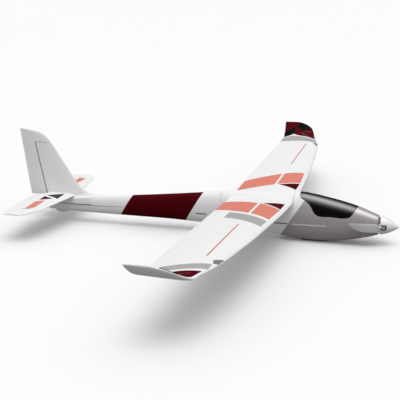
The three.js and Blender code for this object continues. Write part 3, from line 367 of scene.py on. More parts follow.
def between(field, low, high):
    """Distance inside a band, in millimetres."""
    return (field - low).least(-(field - high))


def inside_outline(x, y, points):
    """Distance inside a convex outline that runs anticlockwise, in millimetres."""
    inside = None
    for (x0, y0), (x1, y1) in zip(points, points[1:] + points[:1]):
        length = math.hypot(x1 - x0, y1 - y0)
        side = (y - y0) * ((x1 - x0) / length) - (x - x0) * ((y1 - y0) / length)
        inside = side if inside is None else inside.least(side)
    return inside


def stroke(x, y, start, end, width):
    """Distance inside a straight painted line of this width between two points, in millimetres."""
    (x0, y0), (x1, y1) = start, end
    length = math.hypot(x1 - x0, y1 - y0)
    along_x, along_y = (x1 - x0) / length, (y1 - y0) / length
    along = (x - x0) * along_x + (y - y0) * along_y
    off = (y - y0) * along_x - (x - x0) * along_y
    return between(along, 0.0, length).least(-(off.size() - width / 2))


def faces_up(paint):
    """1 on surfaces that face up, fading to 0 where they turn level."""
    return past((paint.facing()[2] - 0.04) * 20.0)


class Paint:
    """A material under construction: a principled shader with its coordinates."""

    def __init__(self, name):
        self.material = bpy.data.materials.new(name)
        self.material.use_nodes = True
        self.tree = self.material.node_tree
        self.shader = self.tree.nodes["Principled BSDF"]
        self.coordinates = self.tree.nodes.new("ShaderNodeTexCoord")

    def place(self):
        """x, y and z in millimetres from the datum, as fields."""
        fields = parts_of(self.tree, self.coordinates.outputs["Object"])
        return [(field - float(shift)) * (1 / MM) for field, shift in zip(fields, DATUM)]

    def facing(self):
        """The surface's direction in the object's own axes, as fields."""
        return parts_of(self.tree, self.coordinates.outputs["Normal"])

    def texture(self, kind, scale, stretch=(1, 1, 1)):
        """A texture node over the object's own coordinates. Its scale is in repeats per metre."""
        mapping = self.tree.nodes.new("ShaderNodeMapping")
        mapping.inputs["Scale"].default_value = stretch
        self.tree.links.new(self.coordinates.outputs["Object"], mapping.inputs["Vector"])
        node = self.tree.nodes.new(kind)
        node.inputs["Scale"].default_value = scale
        self.tree.links.new(mapping.outputs[0], node.inputs["Vector"])
        return node

    def noise(self, scale, detail=3.0, stretch=(1, 1, 1), roughness=0.55):
        node = self.texture("ShaderNodeTexNoise", scale, stretch)
        node.inputs["Detail"].default_value = detail
        node.inputs["Roughness"].default_value = roughness
        return Field(self.tree, node.outputs[0])

    def cell_edges(self, scale):
        """Distance from the nearest border between cells."""
        node = self.texture("ShaderNodeTexVoronoi", scale)
        node.feature = "DISTANCE_TO_EDGE"
        return Field(self.tree, node.outputs["Distance"])

    def waves(self, scale, direction):
        node = self.texture("ShaderNodeTexWave", scale)
        node.bands_direction = direction
        return Field(self.tree, node.outputs["Fac"])

    def mix(self, share, under, over):
        """under where the share is 0 and over where it is 1; each is a colour or a colour socket."""
        node = self.tree.nodes.new("ShaderNodeMix")
        node.data_type = "RGBA"
        feed(self.tree, node.inputs[0], share)
        for socket, value in ((node.inputs[6], under), (node.inputs[7], over)):
            feed(self.tree, socket, value)
        return node.outputs[2]

    def varied(self, colour, field, amount):
        """A colour made lighter and darker by a field between 0 and 1."""
        node = self.tree.nodes.new("ShaderNodeHueSaturation")
        feed(self.tree, node.inputs["Color"], colour)
        feed(self.tree, node.inputs["Value"], (field - 0.5) * (2 * amount) + 1.0)
        return node.outputs[0]

    def bumps(self, *layers):
        """Relief from (height field, depth in millimetres) layers."""
        normal = None
        for height, depth in layers:
            node = self.tree.nodes.new("ShaderNodeBump")
            node.inputs["Strength"].default_value = 1.0
            node.inputs["Distance"].default_value = depth * MM
            feed(self.tree, node.inputs["Height"], height)
            if normal is not None:
                feed(self.tree, node.inputs["Normal"], normal)
            normal = node.outputs[0]
        feed(self.tree, self.shader.inputs["Normal"], normal)

    def finish(self, colour, roughness, metallic=0.0, coat=0.0, coat_roughness=0.05):
        """Sets the shader's inputs from colours, numbers, fields or sockets and returns the material."""
        settings = {
            "Base Color": colour,
            "Roughness": roughness,
            "Metallic": metallic,
            "Coat Weight": coat,
            "Coat Roughness": coat_roughness,
        }
        for name, value in settings.items():
            feed(self.tree, self.shader.inputs[name], value)
        return self.material


def painted_over(paint, colour, shapes, shown=1.0):
    """The colour with (distance inside, tint) shapes painted over it in turn, to the share shown."""
    for shape, tint in shapes:
        colour = paint.mix(past(shape) * shown, colour, tint)
    return colour


def srgb(red, green, blue):
    """A display colour of 0 to 255 as linear light."""
    def linear(value):
        share = value / 255
        return share / 12.92 if share <= 0.04045 else ((share + 0.055) / 1.055) ** 2.4
    return tuple(linear(value) for value in (red, green, blue))


WHITE = srgb(241, 241, 241)
SALMON = srgb(224, 136, 120)
LINE_RED = srgb(206, 100, 90)
DARK_RED = srgb(74, 8, 16)
MAROON = srgb(76, 5, 14)
STRIPE_GREY = srgb(174, 173, 173)
NOSE_GREY = srgb(176, 170, 169)
CHARCOAL = srgb(58, 58, 60)
BLACK = srgb(3, 3, 4)
# Painted shade: a grey that stands in for the shadow in the gap between the fin and the rudder.
GAP_SHADE_GREY = srgb(150, 150, 151)


BEADS = 260  # per metre
FOAM_ROUGHNESS = 0.42
FOAM_SHEEN = 0.02
LACQUER = {"weight": 0.9, "roughness": 0.17, "ior": 2.1}


def foam(name, painted=None, lacquered=None):
    """Moulded bead foam, painted where painted(paint, x, y, z) says and lacquered where lacquered does."""
    paint = Paint(name)
    seams = (paint.cell_edges(BEADS) * 9.0).worked("MINIMUM", 1.0)
    mottle = paint.noise(38, 4)
    x, y, z = paint.place()
    colour = painted(paint, x, y, z) if painted else WHITE
    colour = paint.varied(colour, mottle, 0.018)
    colour = paint.varied(colour, seams, 0.008)
    coat = lacquered(paint, x, y, z) * LACQUER["weight"] if lacquered else 0.0
    paint.shader.inputs["Specular IOR Level"].default_value = FOAM_SHEEN
    paint.shader.inputs["Coat IOR"].default_value = LACQUER["ior"]
    paint.bumps((seams, 0.02), (paint.noise(900, 2), 0.012), (mottle, 0.12))
    return paint.finish(colour, mottle * 0.12 + FOAM_ROUGHNESS, 0.0, coat, LACQUER["roughness"])


# ---------------------------------------------------------------- airframe shapes

# Fuselage frames: station x, top, bottom, half width, height of the widest point.
BODY_FRAMES = np.array([
    (252, 24.7, -20.3, 22.5, 2.2),
    (238, 29.8, -24.8, 25.8, 3),
    (202, 43.2, -33.8, 33, 5),
    (170, 52, -40, 36.6, 6),
    (135, 59.5, -44, 38.2, 7),
    (100, 66, -44.6, 38.4, 8.5),
    (68, 70, -43.2, 37.8, 10),
    (20, 68.5, -38, 35, 12),
    (-30, 66, -32, 31, 14),
    (-80, 63, -27.5, 27, 15),
    (-125, 59, -24.7, 23.6, 15),
    (-175, 53, -22.2, 20.8, 14),
    (-260, 43.5, -19.3, 17.8, 11),
    (-355, 34, -18.7, 15.3, 8),
    (-452, 26.3, -18, 13, 4.5),
    (-530, 20.5, -17, 11, 2),
    (-588.5, 18.6, -14.5, 8.6, 1),
], float)
BODY_ROUNDNESS = 2.25
BEYOND = 60.0  # further from the plane of symmetry than the fuselage reaches
BODY_FRONT, NOSE_ROUND = 252.0, 1.2
BODY_REAR, TAIL_ROUND = -588.5, 2.5
TAIL_LEAN = -9.0  # the tail end's top lies this far behind its bottom
TAIL_LEAN_FROM = -530.0
BELLY_FLAT = -43.7
BAY = {"front": 238, "rear": 20, "wall": 5, "ledge_top": -24.3}
LEDGES = ((15, 129), (147, 196))  # foam ledges under the battery tray, either side of the strap
BOSS = {"rear": 50, "front": 66.5, "half": 7, "low": 56, "top": 80}  # foam round the rear magnet
SADDLE = {"front": 54, "rear": -125, "height": 36, "gap": 0.4}


def body_at(x):
    return smooth_curve(BODY_FRAMES[:, 0], BODY_FRAMES[:, 1:], x)[0]


def body_ring(x, inset):
    top, bottom, half, wide = body_at(x)
    across, up = squared_circle(full_turn(112), 2 / BODY_ROUNDNESS)
    height = np.where(up >= 0, top - wide - inset, wide - bottom - inset)
    z = np.maximum(wide + height * up, BELLY_FLAT + inset)
    lean = np.clip((TAIL_LEAN_FROM - x) / (TAIL_LEAN_FROM - BODY_REAR), 0, 1)
    stations = x + lean * TAIL_LEAN * ((z - bottom) / (top - bottom) - 0.5)
    return np.column_stack((stations, (half - inset) * across, z))


def body_skin():
    """The whole outside of the fuselage, with slightly rounded ends."""
    close = np.array([0, 0.15, 0.5])
    front, rear = BODY_FRONT - close * NOSE_ROUND, BODY_REAR + close * TAIL_ROUND
    middle = np.linspace(BODY_FRONT - NOSE_ROUND, BODY_REAR + TAIL_ROUND, 150)
    rings = []
    for x in (*front, *middle, *rear[::-1]):
        drawn_in = rounding(BODY_FRONT - x, NOSE_ROUND) + rounding(x - BODY_REAR, TAIL_ROUND)
        rings.append(body_ring(x, drawn_in * 0.8))
    return skin(rings, "body")


def body_top(x, y):
    """Height of the fuselage's upper surface at a distance y from its middle, or its widest height beyond."""
    top, _, half, wide = body_at(x)
    share = min(abs(y) / half, 1.0)
    return wide + (top - wide) * (1 - share**BODY_ROUNDNESS) ** (1 / BODY_ROUNDNESS)


# Wing plan: distance from the plane of symmetry, leading edge x, trailing edge x.
WING_PLAN = np.array([
    (0, 52, -105),
    (100, 52, -104.5),
    (200, 48.5, -104),
    (300, 43, -103),
    (400, 37.5, -102),
    (480, 30.5, -101),
    (545, 24.5, -100),
    (600, 17, -99),
    (640, 9, -99),
    (668, 2, -99.6),
    (690, -2, -101),
], float)
HALF_SPAN = 750.0
CENTRE_HALF = 45.0
WING_REAR_EDGE_HEIGHT = 44.0
DIHEDRAL = math.atan(0.0445)
WING_THICKNESS = 0.1
WING_CAMBER = 0.022
WING_REAR_EDGE = 1.6
ROOT_INCIDENCE = 0.014
TIP_START = 690.0
TIP_BEND = math.radians(18)
TIP_CANT = math.radians(44.6)
TIP_ROUND = 5.0


def tip_line(share):
    """y, leading edge, trailing edge, height and cant along the turned-up tip."""
    cant = TIP_BEND + share * (TIP_CANT - TIP_BEND)
    arc = (HALF_SPAN - TIP_START) / (math.sin(TIP_CANT) - math.sin(TIP_BEND))
    y = TIP_START + arc * (math.sin(cant) - math.sin(TIP_BEND))
    foot = WING_REAR_EDGE_HEIGHT + TIP_START * math.tan(DIHEDRAL)
    z = foot + arc * (math.cos(TIP_BEND) - math.cos(cant))
    return (y, -2 - 24 * share - 33 * share**6, -101 - 6 * share, z, cant)


def wing_lines():
    """Rows of arc length, y, leading edge, trailing edge, height and cant from root to tip."""
    inner = [(*row, WING_REAR_EDGE_HEIGHT + row[0] * math.tan(DIHEDRAL), 0.0) for row in WING_PLAN]
    inner[-1] = (*inner[-1][:4], TIP_BEND / 2)
    shares = (0.15, 0.3, 0.45, 0.6, 0.72, 0.82, 0.9, 0.96, 1.0)
    rows = np.array(inner + [tip_line(share) for share in shares])
    return np.column_stack((distances_along(rows[:, [0, 3]]), rows))


WING_LINES = wing_lines()


def wing_station(along):
    """The wing's section at an arc length from the plane of symmetry."""
    y, lead, trail, z, cant = smooth_curve(WING_LINES[:, 0], WING_LINES[:, 1:], along)[0]
    thin = thinned(WING_LINES[-1, 0] - along, TIP_ROUND, 0.96)
    up = (0, -math.sin(cant), math.cos(cant))
    form = (WING_THICKNESS * thin, WING_CAMBER, WING_REAR_EDGE * thin)
    return Station((lead, y, z), lead - trail, up, *form, ROOT_INCIDENCE * (1 - y / HALF_SPAN))


def wing_station_at(y):
    """The wing's section at a distance y from the plane of symmetry, inboard of the tip."""
    return wing_station(np.interp(y, WING_LINES[:, 1], WING_LINES[:, 0]))


STAB_HEIGHT = 24.5
STAB_THICKNESS = 0.08
STAB_PLAN = np.array([
    (9.4, -509.5, -617),
    (64, -516.5, -614),
    (130, -525, -610),
    (175, -532.5, -607.6),
    (200, -542, -606.2),
    (214, -551, -605.4),
    (222, -562, -605),
], float)
STAB_ROUND = 3.0


def stab_station(y):
    lead, trail = smooth_curve(STAB_PLAN[:, 0], STAB_PLAN[:, 1:], y)[0]
    thin = thinned(STAB_PLAN[-1, 0] - y, STAB_ROUND)
    return Station((lead, y, STAB_HEIGHT), lead - trail, (0, 0, 1), STAB_THICKNESS * thin, 0, 1.2 * thin)


# Fin and rudder side view: height, leading edge x, trailing edge x, thickness share.
FIN_PLAN = np.array([
    (12, -440, -630.5, 0.07),
    (27, -460, -632.7, 0.07),
    (34, -477, -633.7, 0.078),
    (44, -493.5, -635.2, 0.084),
    (60, -507.5, -637.6, 0.088),
    (80, -521, -640.6, 0.09),
    (118, -547, -646.2, 0.09),
    (158, -574, -652.2, 0.09),
    (170, -584.5, -654, 0.09),
    (179, -597, -655.3, 0.09),
    (185, -614, -656.2, 0.09),
    (190, -648, -657, 0.12),
], float)
RUDDER_FOOT = (-588.0, 24.0)
RUDDER_LEAN = 28.7 / 133.4
RUDDER_BOTTOM = 21.0
BALANCE_CUT = 157.6
FIN_ROUND = 2.5


def fin_station(z):
    lead, trail, thickness = smooth_curve(FIN_PLAN[:, 0], FIN_PLAN[:, 1:], z)[0]
    thin = thinned(FIN_PLAN[-1, 0] - z, FIN_ROUND)
    return Station((lead, 0, z), lead - trail, (0, 1, 0), thickness * thin, 0, 1.2 * thin)


def rudder_hinge(z):
    """Station of the rudder's hinge line at height z, which may be a number or a Field."""
    return (z - RUDDER_FOOT[1]) * -RUDDER_LEAN + RUDDER_FOOT[0]


def spread(low, high, count, end=0.0):
    """Even places from low to high, with extra ones near high where an end is rounded."""
    places = np.linspace(low, high - end, count)
    if end:
        close = high - end * (1 - np.sin(np.linspace(0, math.pi / 2, 7)[1:]))
        places = np.concatenate((places, close))
    return places


# ---------------------------------------------------------------- fuselage and fin

CANOPY_OUTLINE = np.array([
    (66.5, 66),
    (70, 60.5),
    (80, 55.5),
    (90, 48.5),
    (97, 40.5),
    (103, 31),
    (108, 25.5),
    (114, 23),
    (143, 22.2),
    (181, 21.6),
    (187, 23.2),
    (191.5, 28.5),
    (203, 43.6),
], float)
PRISM_TOP = 90.0


def canopy_prism(inset=0.0):
    """Everything above the hatch's edge, seen from the side."""
    lengths = distances_along(CANOPY_OUTLINE)
    edge = smooth_curve(lengths, CANOPY_OUTLINE, np.linspace(0, lengths[-1], 60))
    edge[:, 0] += np.where(edge[:, 0] < 140, inset, -inset)
    edge[:, 1] += inset
    return prism([(edge[0, 0], PRISM_TOP), *edge, (206 - inset, PRISM_TOP)], 1, -BEYOND, BEYOND)


FILLET = 9.0  # radius at the foot of the fin
FILLET_SINK = 0.3  # its centre is this much too low, so that it meets the fuselage in a clean line


def fin_with_fillet():
    """The fin ahead of the rudder, flaring out where it meets the fuselage."""
    rings = []
    for z in np.concatenate((np.linspace(6, 50, 90), np.linspace(53, BALANCE_CUT - 1.3, 40))):
        station = fin_station(max(z, FIN_PLAN[0, 0]))
        ring = station.ring(40)
        ring[:, 2] = z
        outward = np.sign(ring[:, 1])
        for i, (x, y, _) in enumerate(ring):
            over = z - body_top(min(x, BODY_FRONT), y)
            flare = rounding(over + FILLET_SINK, FILLET)
            front = np.clip((x - station.lead[0] + 25) / 25, 0, 1)
            ring[i, 1] += outward[i] * flare * (1 - front**2)
            ring[i, 0] += flare * front
        rings.append(ring)
    return skin(rings, "fin")


RUDDER_GAP = 1.3


def rudder_cove():
    """Room for the rudder behind the fin, carried on below the lowest fin section."""
    foot = FIN_PLAN[0, 0]
    rings = []
    for z in np.linspace(0, BALANCE_CUT + 20, 30):
        ring = fin_station(max(z, foot)).cove_ring(rudder_hinge(z), RUDDER_GAP)
        rings.append(ring + (0, 0, min(z - foot, 0)))
    return skin(rings)


# The painted shade in the rudder's gap starts at this height.
GAP_SHADE_FOOT = 34.0  # height from which the rudder's gap shows
SEAT = {"front": -497, "rear": -583.4, "nose": 30, "half": 9, "floor": 4, "foot": 20, "rise": 9.1}


def tail_seat():
    """The raised seat between the fin and the stabilizer halves."""
    across, up = squared_circle(full_turn(48), 0.45)
    rings = []
    for x in np.linspace(SEAT["front"], SEAT["rear"], 40):
        swell = math.sqrt(1 - (1 - min((SEAT["front"] - x) / SEAT["nose"] + 0.02, 1)) ** 2)
        top = SEAT["foot"] + SEAT["rise"] * swell
        middle, reach = (top + SEAT["floor"]) / 2, (top - SEAT["floor"]) / 2
        rings.append(np.column_stack((np.full(48, x), SEAT["half"] * swell * across, middle + reach * up)))
    return skin(rings, "seat")


def line_through(start, end, x):
    """The point at station x on the line through two points."""
    start, end = np.asarray(start, float), np.asarray(end, float)
    return start + (end - start) * (x - start[0]) / (end[0] - start[0])


SERVO_GAP = 0.4  # room round a servo


def elevator_rooms():
    """Channels for the elevator's servo arm, pushrod and guide tube."""
    low, high = box_of("elevator_guide_tube")
    _, y, z = (low + high) / 2
    rod = z - 0.6
    arm = middle_of("elevator_servo_arm")[0]
    servo_low, servo_high = box_of("elevator_servo")
    return [
        block(servo_low - SERVO_GAP, servo_high + SERVO_GAP),
        block((arm - 13, y - 2, 0.5), (arm + 13, y + 4.2, 29)),
        block((high[0] - 1, y - 2, rod - 2), (arm, y + 2, rod + 3)),
        bar((low[0] + 1, y, z), (-596, y, z), 2.4),
        bar((high[0], y, z), (low[0] - 6, y, z), 2.3),
    ]


RUDDER_ROD = ((-10.47, -0.6, -10.9), (-590.47, 11.0, 35.5))  # the rudder pushrod's front and rear ends
RUDDER_ARM = 11.0


def leaning_block(low, high):
    """A block in the rudder servo's own axes, which lean back with the rudder hinge."""
    shaft = np.array(RUDDER_ROD[0]) - (0, RUDDER_ARM, 0)
    turn = Matrix.Rotation(-math.atan(RUDDER_LEAN), 4, "Y")
    move = Matrix.Translation(Vector(placed(shaft))) @ turn @ Matrix.Translation(-Vector(DATUM))
    made = block(low, high)
    made.data.transform(move)
    return made


def rudder_rooms():
    """Channels for the rudder's servo, arm, pushrod and guide tube, and a notch for its horn."""
    def rod(x):
        return line_through(*RUDDER_ROD, x)

    horn_low, horn_high = box_of("rudder_horn")
    notch_front = rudder_hinge(horn_low[2]) + 6.5
    return [
        leaning_block((-6.4, -6.4, 4.6), (17.4, 6.4, 27.4)),  # the servo
        leaning_block((-9, -5, -3), (9, 15, 5)),  # its arm, at any angle
        bar(RUDDER_ROD[0], rod(-61), 3.4),
        bar(rod(-60), rod(-461), 3.2),
        bar(rod(-455), rod(-562), 2.7),
        block((-610, 0.5, horn_low[2] - 0.8), (notch_front, 20, horn_high[2] + 0.8)),
    ]


def bay():
    """The hollow that holds the battery, the speed controller and the receiver."""
    rings = [body_ring(x, BAY["wall"]) for x in np.linspace(BAY["front"], BAY["rear"], 50)]
    hollow = skin(rings, "bay")
    for x0, x1 in LEDGES:
        for y0, y1 in ((10, BEYOND), (-BEYOND, -10)):
            cut(hollow, block((x0, y0, -BEYOND), (x1, y1, BAY["ledge_top"])))
    boss_low = (BOSS["rear"], -BOSS["half"], BOSS["low"])
    return cut(hollow, block(boss_low, (BOSS["front"], BOSS["half"], BOSS["top"])))


DOWN_THRUST = math.radians(4)
NOSE = np.array((253, 0, 2.2))  # where the motor's shaft leaves the fuselage


def power_frame(x, y, z):
    """A point of the motor's own axes, which tilt down ahead."""
    cosine, sine = math.cos(DOWN_THRUST), math.sin(DOWN_THRUST)
    return NOSE + (x * cosine + z * sine, y, z * cosine - x * sine)


def saddle_block(grow, floor):
    """Where the wing's centre section replaces the top of the fuselage."""
    low = (SADDLE["rear"] - grow, -BEYOND, floor)
    return block(low, (SADDLE["front"] + grow, BEYOND, PRISM_TOP))


def fuselage():
    shell = body_skin()
    join(shell, tail_seat())
    join(shell, cut(fin_with_fillet(), rudder_cove()))
    motor_bore = bar(power_frame(-22, 0, 0), power_frame(8, 0, 0), 18.9, sides=48)
    cut(shell, bay(), motor_bore, canopy_prism())
    cut(shell, saddle_block(SADDLE["gap"], SADDLE["height"] - 0.3))
    return cut(shell, *elevator_rooms(), *rudder_rooms())


# Slanted edges of the fuselage's paint: station at height 0, and how far forward they lean per height.
NOSE_EDGE = (44.2, 0.635)
BAND_FRONT = (-204.64, 0.597)
BAND_REAR = (-375.74, 0.61)
LINE_SIDES = 9.0  # the fine lines show this far from the plane of symmetry and beyond
SIDE_LINES = (  # rear end, front end, width and colour
    ((4.0, -1.7), (42.0, -1.2), 2.4, MAROON),
    ((-187.0, 4.2), (-160.0, 3.6), 2.4, MAROON),
    ((52.0, -1.0), (134.5, 0.2), 2.5, srgb(240, 238, 236)),
)


def ahead_of(edge, x, z):
    """Distance ahead of a slanted edge."""
    return x - (z * edge[1] + edge[0])


def nose_region(paint, x, y, z):
    """The painted nose: ahead of its edge, and only where the surface faces away from the bay."""
    _, across, up = paint.facing()
    outside = past(across * y + up * (z - 6.0))
    return past(ahead_of(NOSE_EDGE, x, z)) * outside


def nose_paint(paint, x, y, z):
    """Grey nose, maroon band on the boom, thin lines along the side, and painted shade in the rudder's gap.
    """
    colour = paint.mix(nose_region(paint, x, y, z), WHITE, NOSE_GREY)
    band = ahead_of(BAND_REAR, x, z).least(-ahead_of(BAND_FRONT, x, z))
    shapes = [(band, MAROON)]
    for start, end, width, tint in SIDE_LINES:
        shapes.append((stroke(x, z, start, end, width).least(y.size() - LINE_SIDES), tint))
    # A grey strip either side of the hinge line: painted shade standing in for the gap's shadow.
    gap_shade = between(x - rudder_hinge(z), -1.0, 1.3).least(z - GAP_SHADE_FOOT)
    return painted_over(paint, colour, (*shapes, (gap_shade, GAP_SHADE_GREY)))


def rudder_paint(paint, x, y, z):
    """Plain foam, with painted shade on the round front edge that turns inside the fin."""
    # The grey ahead of the hinge and below the balance cut is painted shade.
    return paint.mix(past((x - rudder_hinge(z)).least(-(z - BALANCE_CUT) - 1.0)), WHITE, GAP_SHADE_GREY)


SPLIT_HALF = 0.12  # half the gap between the fuselage's two mouldings


def build_fuselage():
    material = foam("foam_fuselage", nose_paint, nose_region)
    shell = fuselage()
    halves = {"left": (SPLIT_HALF, BEYOND), "right": (-BEYOND, -SPLIT_HALF)}
    for side, (y0, y1) in halves.items():
        half = meet(copy_of(shell), block((-700, y0, -80), (300, y1, 220)))
        show(half, f"foam_shell_{side}", "airframe", material, "foam", f"fuselage_{side}")
    bpy.data.objects.remove(shell)


def canopy_shell():
    """A thin hatch with a magnet holder at its rear and a tongue at its front."""
    inside = skin([body_ring(x, 3.0) for x in np.linspace(215, 50, 60)])
    hatch = cut(meet(body_skin(), canopy_prism(0.3)), inside)
    magnet_holder = block((68.7, -7, 56), (75, 7, 66.5))
    join(hatch, magnet_holder, block((190, -8, 33.2), (208, 8, 35)), block((190, -8, 34), (195, 8, 44)))
    return cut(hatch, bar((67.6, 0, 61.5), (72.5, 0, 61.5), 3.3))


def canopy_material():
    """High-gloss black lacquer over moulded plastic."""
    paint = Paint("canopy_gloss")
    ripple = paint.noise(9, 2)
    colour = paint.varied(srgb(10, 10, 12), paint.noise(60, 3), 0.2)
    paint.bumps((ripple, 0.25), (paint.noise(700, 2), 0.004))
    return paint.finish(colour, ripple * 0.08 + 0.14, coat=0.55, coat_roughness=0.08)


# ---------------------------------------------------------------- wing

def blended(height, other, reach):
    """The greater of two heights, rounded where they are within reach of each other."""
    near = max(reach - abs(height - other), 0) / reach
    return max(height, other) + near * near * reach / 4


ROOT_BLEND = 14.0


def wing_centre():
    """The wing between its panels, blended into the top of the fuselage, with holes for its screws."""
    rings = []
    for y in np.linspace(-CENTRE_HALF + 0.3, CENTRE_HALF - 0.3, 91):
        station = wing_station_at(abs(y))
        ring = station.ring(60)
        ring[:, 1] = y
        for i, (x, _, z) in enumerate(ring[:61]):
            body = body_top(x, y)
            if abs(y) < body_at(x)[2] and abs(z - body) < ROOT_BLEND:
                ring[i, 2] = blended(z, body, ROOT_BLEND) + 0.02
        rings.append(ring)
    saddle = meet(body_skin(), saddle_block(-SADDLE["gap"], SADDLE["height"]))
    centre = join(skin(rings, "centre"), saddle)
    for side in ("left", "right"):
        low, high = box_of(f"wing_screw_{side}")
        x, y, _ = (low + high) / 2
        cut(centre, bar((x, y, high[2] - 1.5), (x, y, 75), 2.9))
    return centre


HINGE_GAP = 0.7
AILERON = {"inner": 182.0, "outer": 603.0, "hinge": -80.0}


def wing_panel():
    """The left panel with its tip, and rooms for the aileron, its servo and its arm."""
    along = spread(CENTRE_HALF + 0.3, WING_LINES[-1, 0], 130, TIP_ROUND)
    panel = skin([wing_station(s).ring(36) for s in along])
    span = np.linspace(AILERON["inner"] - 0.6, AILERON["outer"] + 0.6, 40)
    cut(panel, skin([wing_station_at(y).cove_ring(AILERON["hinge"], HINGE_GAP) for y in span]))
    low, high = box_of("aileron_servo_left")
    cut(panel, block((low[0] - 0.5, low[1] - 0.5, 20), high + (0.5, 0.5, 0.4)))
    low, high = box_of("aileron_servo_arm_left")
    return cut(panel, block((low[0] - 6, low[1] - 1.2, 20), high + (6, 4, 1)))


def aileron():
    """The moving rear part of the wing, with a round nose about its hinge."""
    span = np.linspace(AILERON["inner"], AILERON["outer"], 80)
    return skin([wing_station_at(y).flap_ring(AILERON["hinge"]) for y in span])


def stripe_edges(x):
    """Inner and outer edge of the wide stripe across the wing, as distances from the middle."""
    inner = x * x * 0.0019 + x * 0.65 + 108.0
    outer = x * x * 0.0003 + x * 0.633 + 214.0
    return inner, outer


def wing_paint(paint, x, y, z):
    """Wide stripe with a dark wedge, fine lines, and dark faceted wing tips, all on the upper side."""
    out = y.size()
    upper = faces_up(paint)
    inner, outer = stripe_edges(x)
    # Each shape is a distance inside it. All keep clear of the bare leading edge.
    front_margin = -(x - 42.0) - (out - 140.0).most(0.0) * 0.055
    stripe = (out - inner).least(-(out - outer)).least(front_margin).least((x + 13.0).size() - 2.9)
    wedge = (-(out - inner) - 6.5).least((out - 95.0) + x * 0.5).least(x + 9.0).least(front_margin)
    band = between(out - outer, 17.0, 71.0).least(x + 60.0).least(front_margin)
    line = between(x, -13.2, -10.4).least(between(out, 314.0, 567.0))
    patch = inside_outline(x, out, [(5, 584), (21, 566), (17, 596), (9, 602)])
    shapes = (
        (stripe, SALMON),
        (wedge, DARK_RED),
        (band.least(-y), STRIPE_GREY),  # on the right only
        (line, LINE_RED),
        (patch, srgb(128, 127, 127)),
    )
    return tip_paint(paint, painted_over(paint, WHITE, shapes, upper), x, out, past(-y), upper)


TIP_CREST = -72.0  # station at which the painted tip's edge comes to a point


def tip_paint(paint, colour, x, out, right, upper):
    """Grey crescent, then the dark tip with black facets and fine light lines."""
    slope = (x - TIP_CREST).size()
    inner = (out - 601.0) + x * 0.12 + right * (x * 0.43 - 9.0)
    crescent = inner.least(-(out - 687.0) - slope * 0.66).least(-(x - 8.5))
    front_margin = (-x - (out - 640.0) * 0.22 + 4.0).least(-x - (out - 690.0) * 0.4 - 3.5)
    rear_margin = (x + 45.0) + (-right + 1.0) * 200.0
    dark = ((out - 697.0) + slope * 0.64).least(front_margin).least(rear_margin)
    rear_facet = inside_outline(x, out, [(-100, 676), (-70, 708), (-72, 727), (-104, 711)])
    front_facet = inside_outline(x, out, [(-67, 727), (-44, 711), (-14, 729), (-36, 756), (-56, 756)])
    # The right tip is dark only ahead of its rear margin, and the left one all along.
    shapes = [(crescent, STRIPE_GREY), (dark, MAROON)]
    shapes += [(facet.least(dark), BLACK) for facet in (rear_facet, front_facet)]
    for start, end in (((-51, 703), (-24, 686)), ((-40, 709), (-12, 713)), ((-46, 698), (-12, 672))):
        shapes.append((stroke(x, out, start, end, 1.1).least(dark), srgb(150, 84, 88)))
    outward = paint.facing()[1] * (-right * 2.0 + 1.0)
    inner_face = upper * past((-outward + 0.2) * 20.0)
    return painted_over(paint, colour, shapes, inner_face)


def build_wing():
    centre_material = foam("foam_centre")
    show(wing_centre(), "foam_wing_centre", "airframe", centre_material, "foam", "wing_centre_section")
    material = foam("foam_wing", wing_paint)
    panel, flap = wing_panel(), aileron()
    sides = (("right", mirrored(panel), mirrored(flap)), ("left", panel, flap))
    for side, fixed, moving in sides:
        show(fixed, f"foam_wing_{side}", "airframe", material, "foam", f"wing_panel_{side}")
        show(moving, f"foam_aileron_{side}", f"aileron_{side}", material, "foam", f"aileron_{side}")


# ---------------------------------------------------------------- tail

ELEVATOR_HINGE = -577.0
ELEVATOR_ROOT = 9.7
ELEVATOR_CUT = 0.49


def stabilizer():
    """The fixed left half of the tailplane."""
    tip = STAB_PLAN[-1, 0]
    half = skin([stab_station(y).ring(30) for y in spread(9.4, tip, 70, STAB_ROUND)])
    rings = []
    for y in np.linspace(4, tip + 6, 40):
        ring = stab_station(min(y, tip - STAB_ROUND)).cove_ring(ELEVATOR_HINGE, HINGE_GAP)
        ring[:, 1] = y
        rings.append(ring)
    return cut(half, skin(rings))


def elevator_half():
    """The moving left half, cut back at its root to clear the rudder."""
    tip = STAB_PLAN[-1, 0]
    half = skin([stab_station(y).flap_ring(ELEVATOR_HINGE) for y in spread(9.4, tip, 70, STAB_ROUND)])
    outline = [
        (ELEVATOR_HINGE + 10, ELEVATOR_ROOT),
        (ELEVATOR_HINGE, ELEVATOR_ROOT),
        (-640, ELEVATOR_ROOT + (ELEVATOR_HINGE + 640) * ELEVATOR_CUT),
        (-640, 260),
        (ELEVATOR_HINGE + 10, 260),
    ]
    return meet(half, prism(outline, 2, 0, 60))


def tail_paint(paint, x, y, z):
    """A salmon panel with a grey end, and two dark triangles, on the upper side."""
    outlines = (
        ([(-570, 169), (-574, 101), (-554, 88), (-550, 159)], SALMON),
        ([(-574, 176), (-575, 171), (-553, 163), (-556, 172)], STRIPE_GREY),
        ([(-572, 86), (-574, 48), (-543, 68)], DARK_RED),
        ([(-532, 66), (-573, 37), (-533.6, 15)], CHARCOAL),
    )
    shapes = [(inside_outline(x, y.size(), points), tint) for points, tint in outlines]
    return painted_over(paint, WHITE, shapes, faces_up(paint))


def rudder():
    """The rudder behind its hinge, and the balance tip above the fin."""
    levels = np.linspace(RUDDER_BOTTOM, BALANCE_CUT + 1, 50)
    lower = skin([fin_station(z).flap_ring(rudder_hinge(z)) for z in levels])
    upper = skin([fin_station(z).ring(30) for z in spread(BALANCE_CUT, FIN_PLAN[-1, 0], 40, FIN_ROUND)])
    return join(lower, upper)


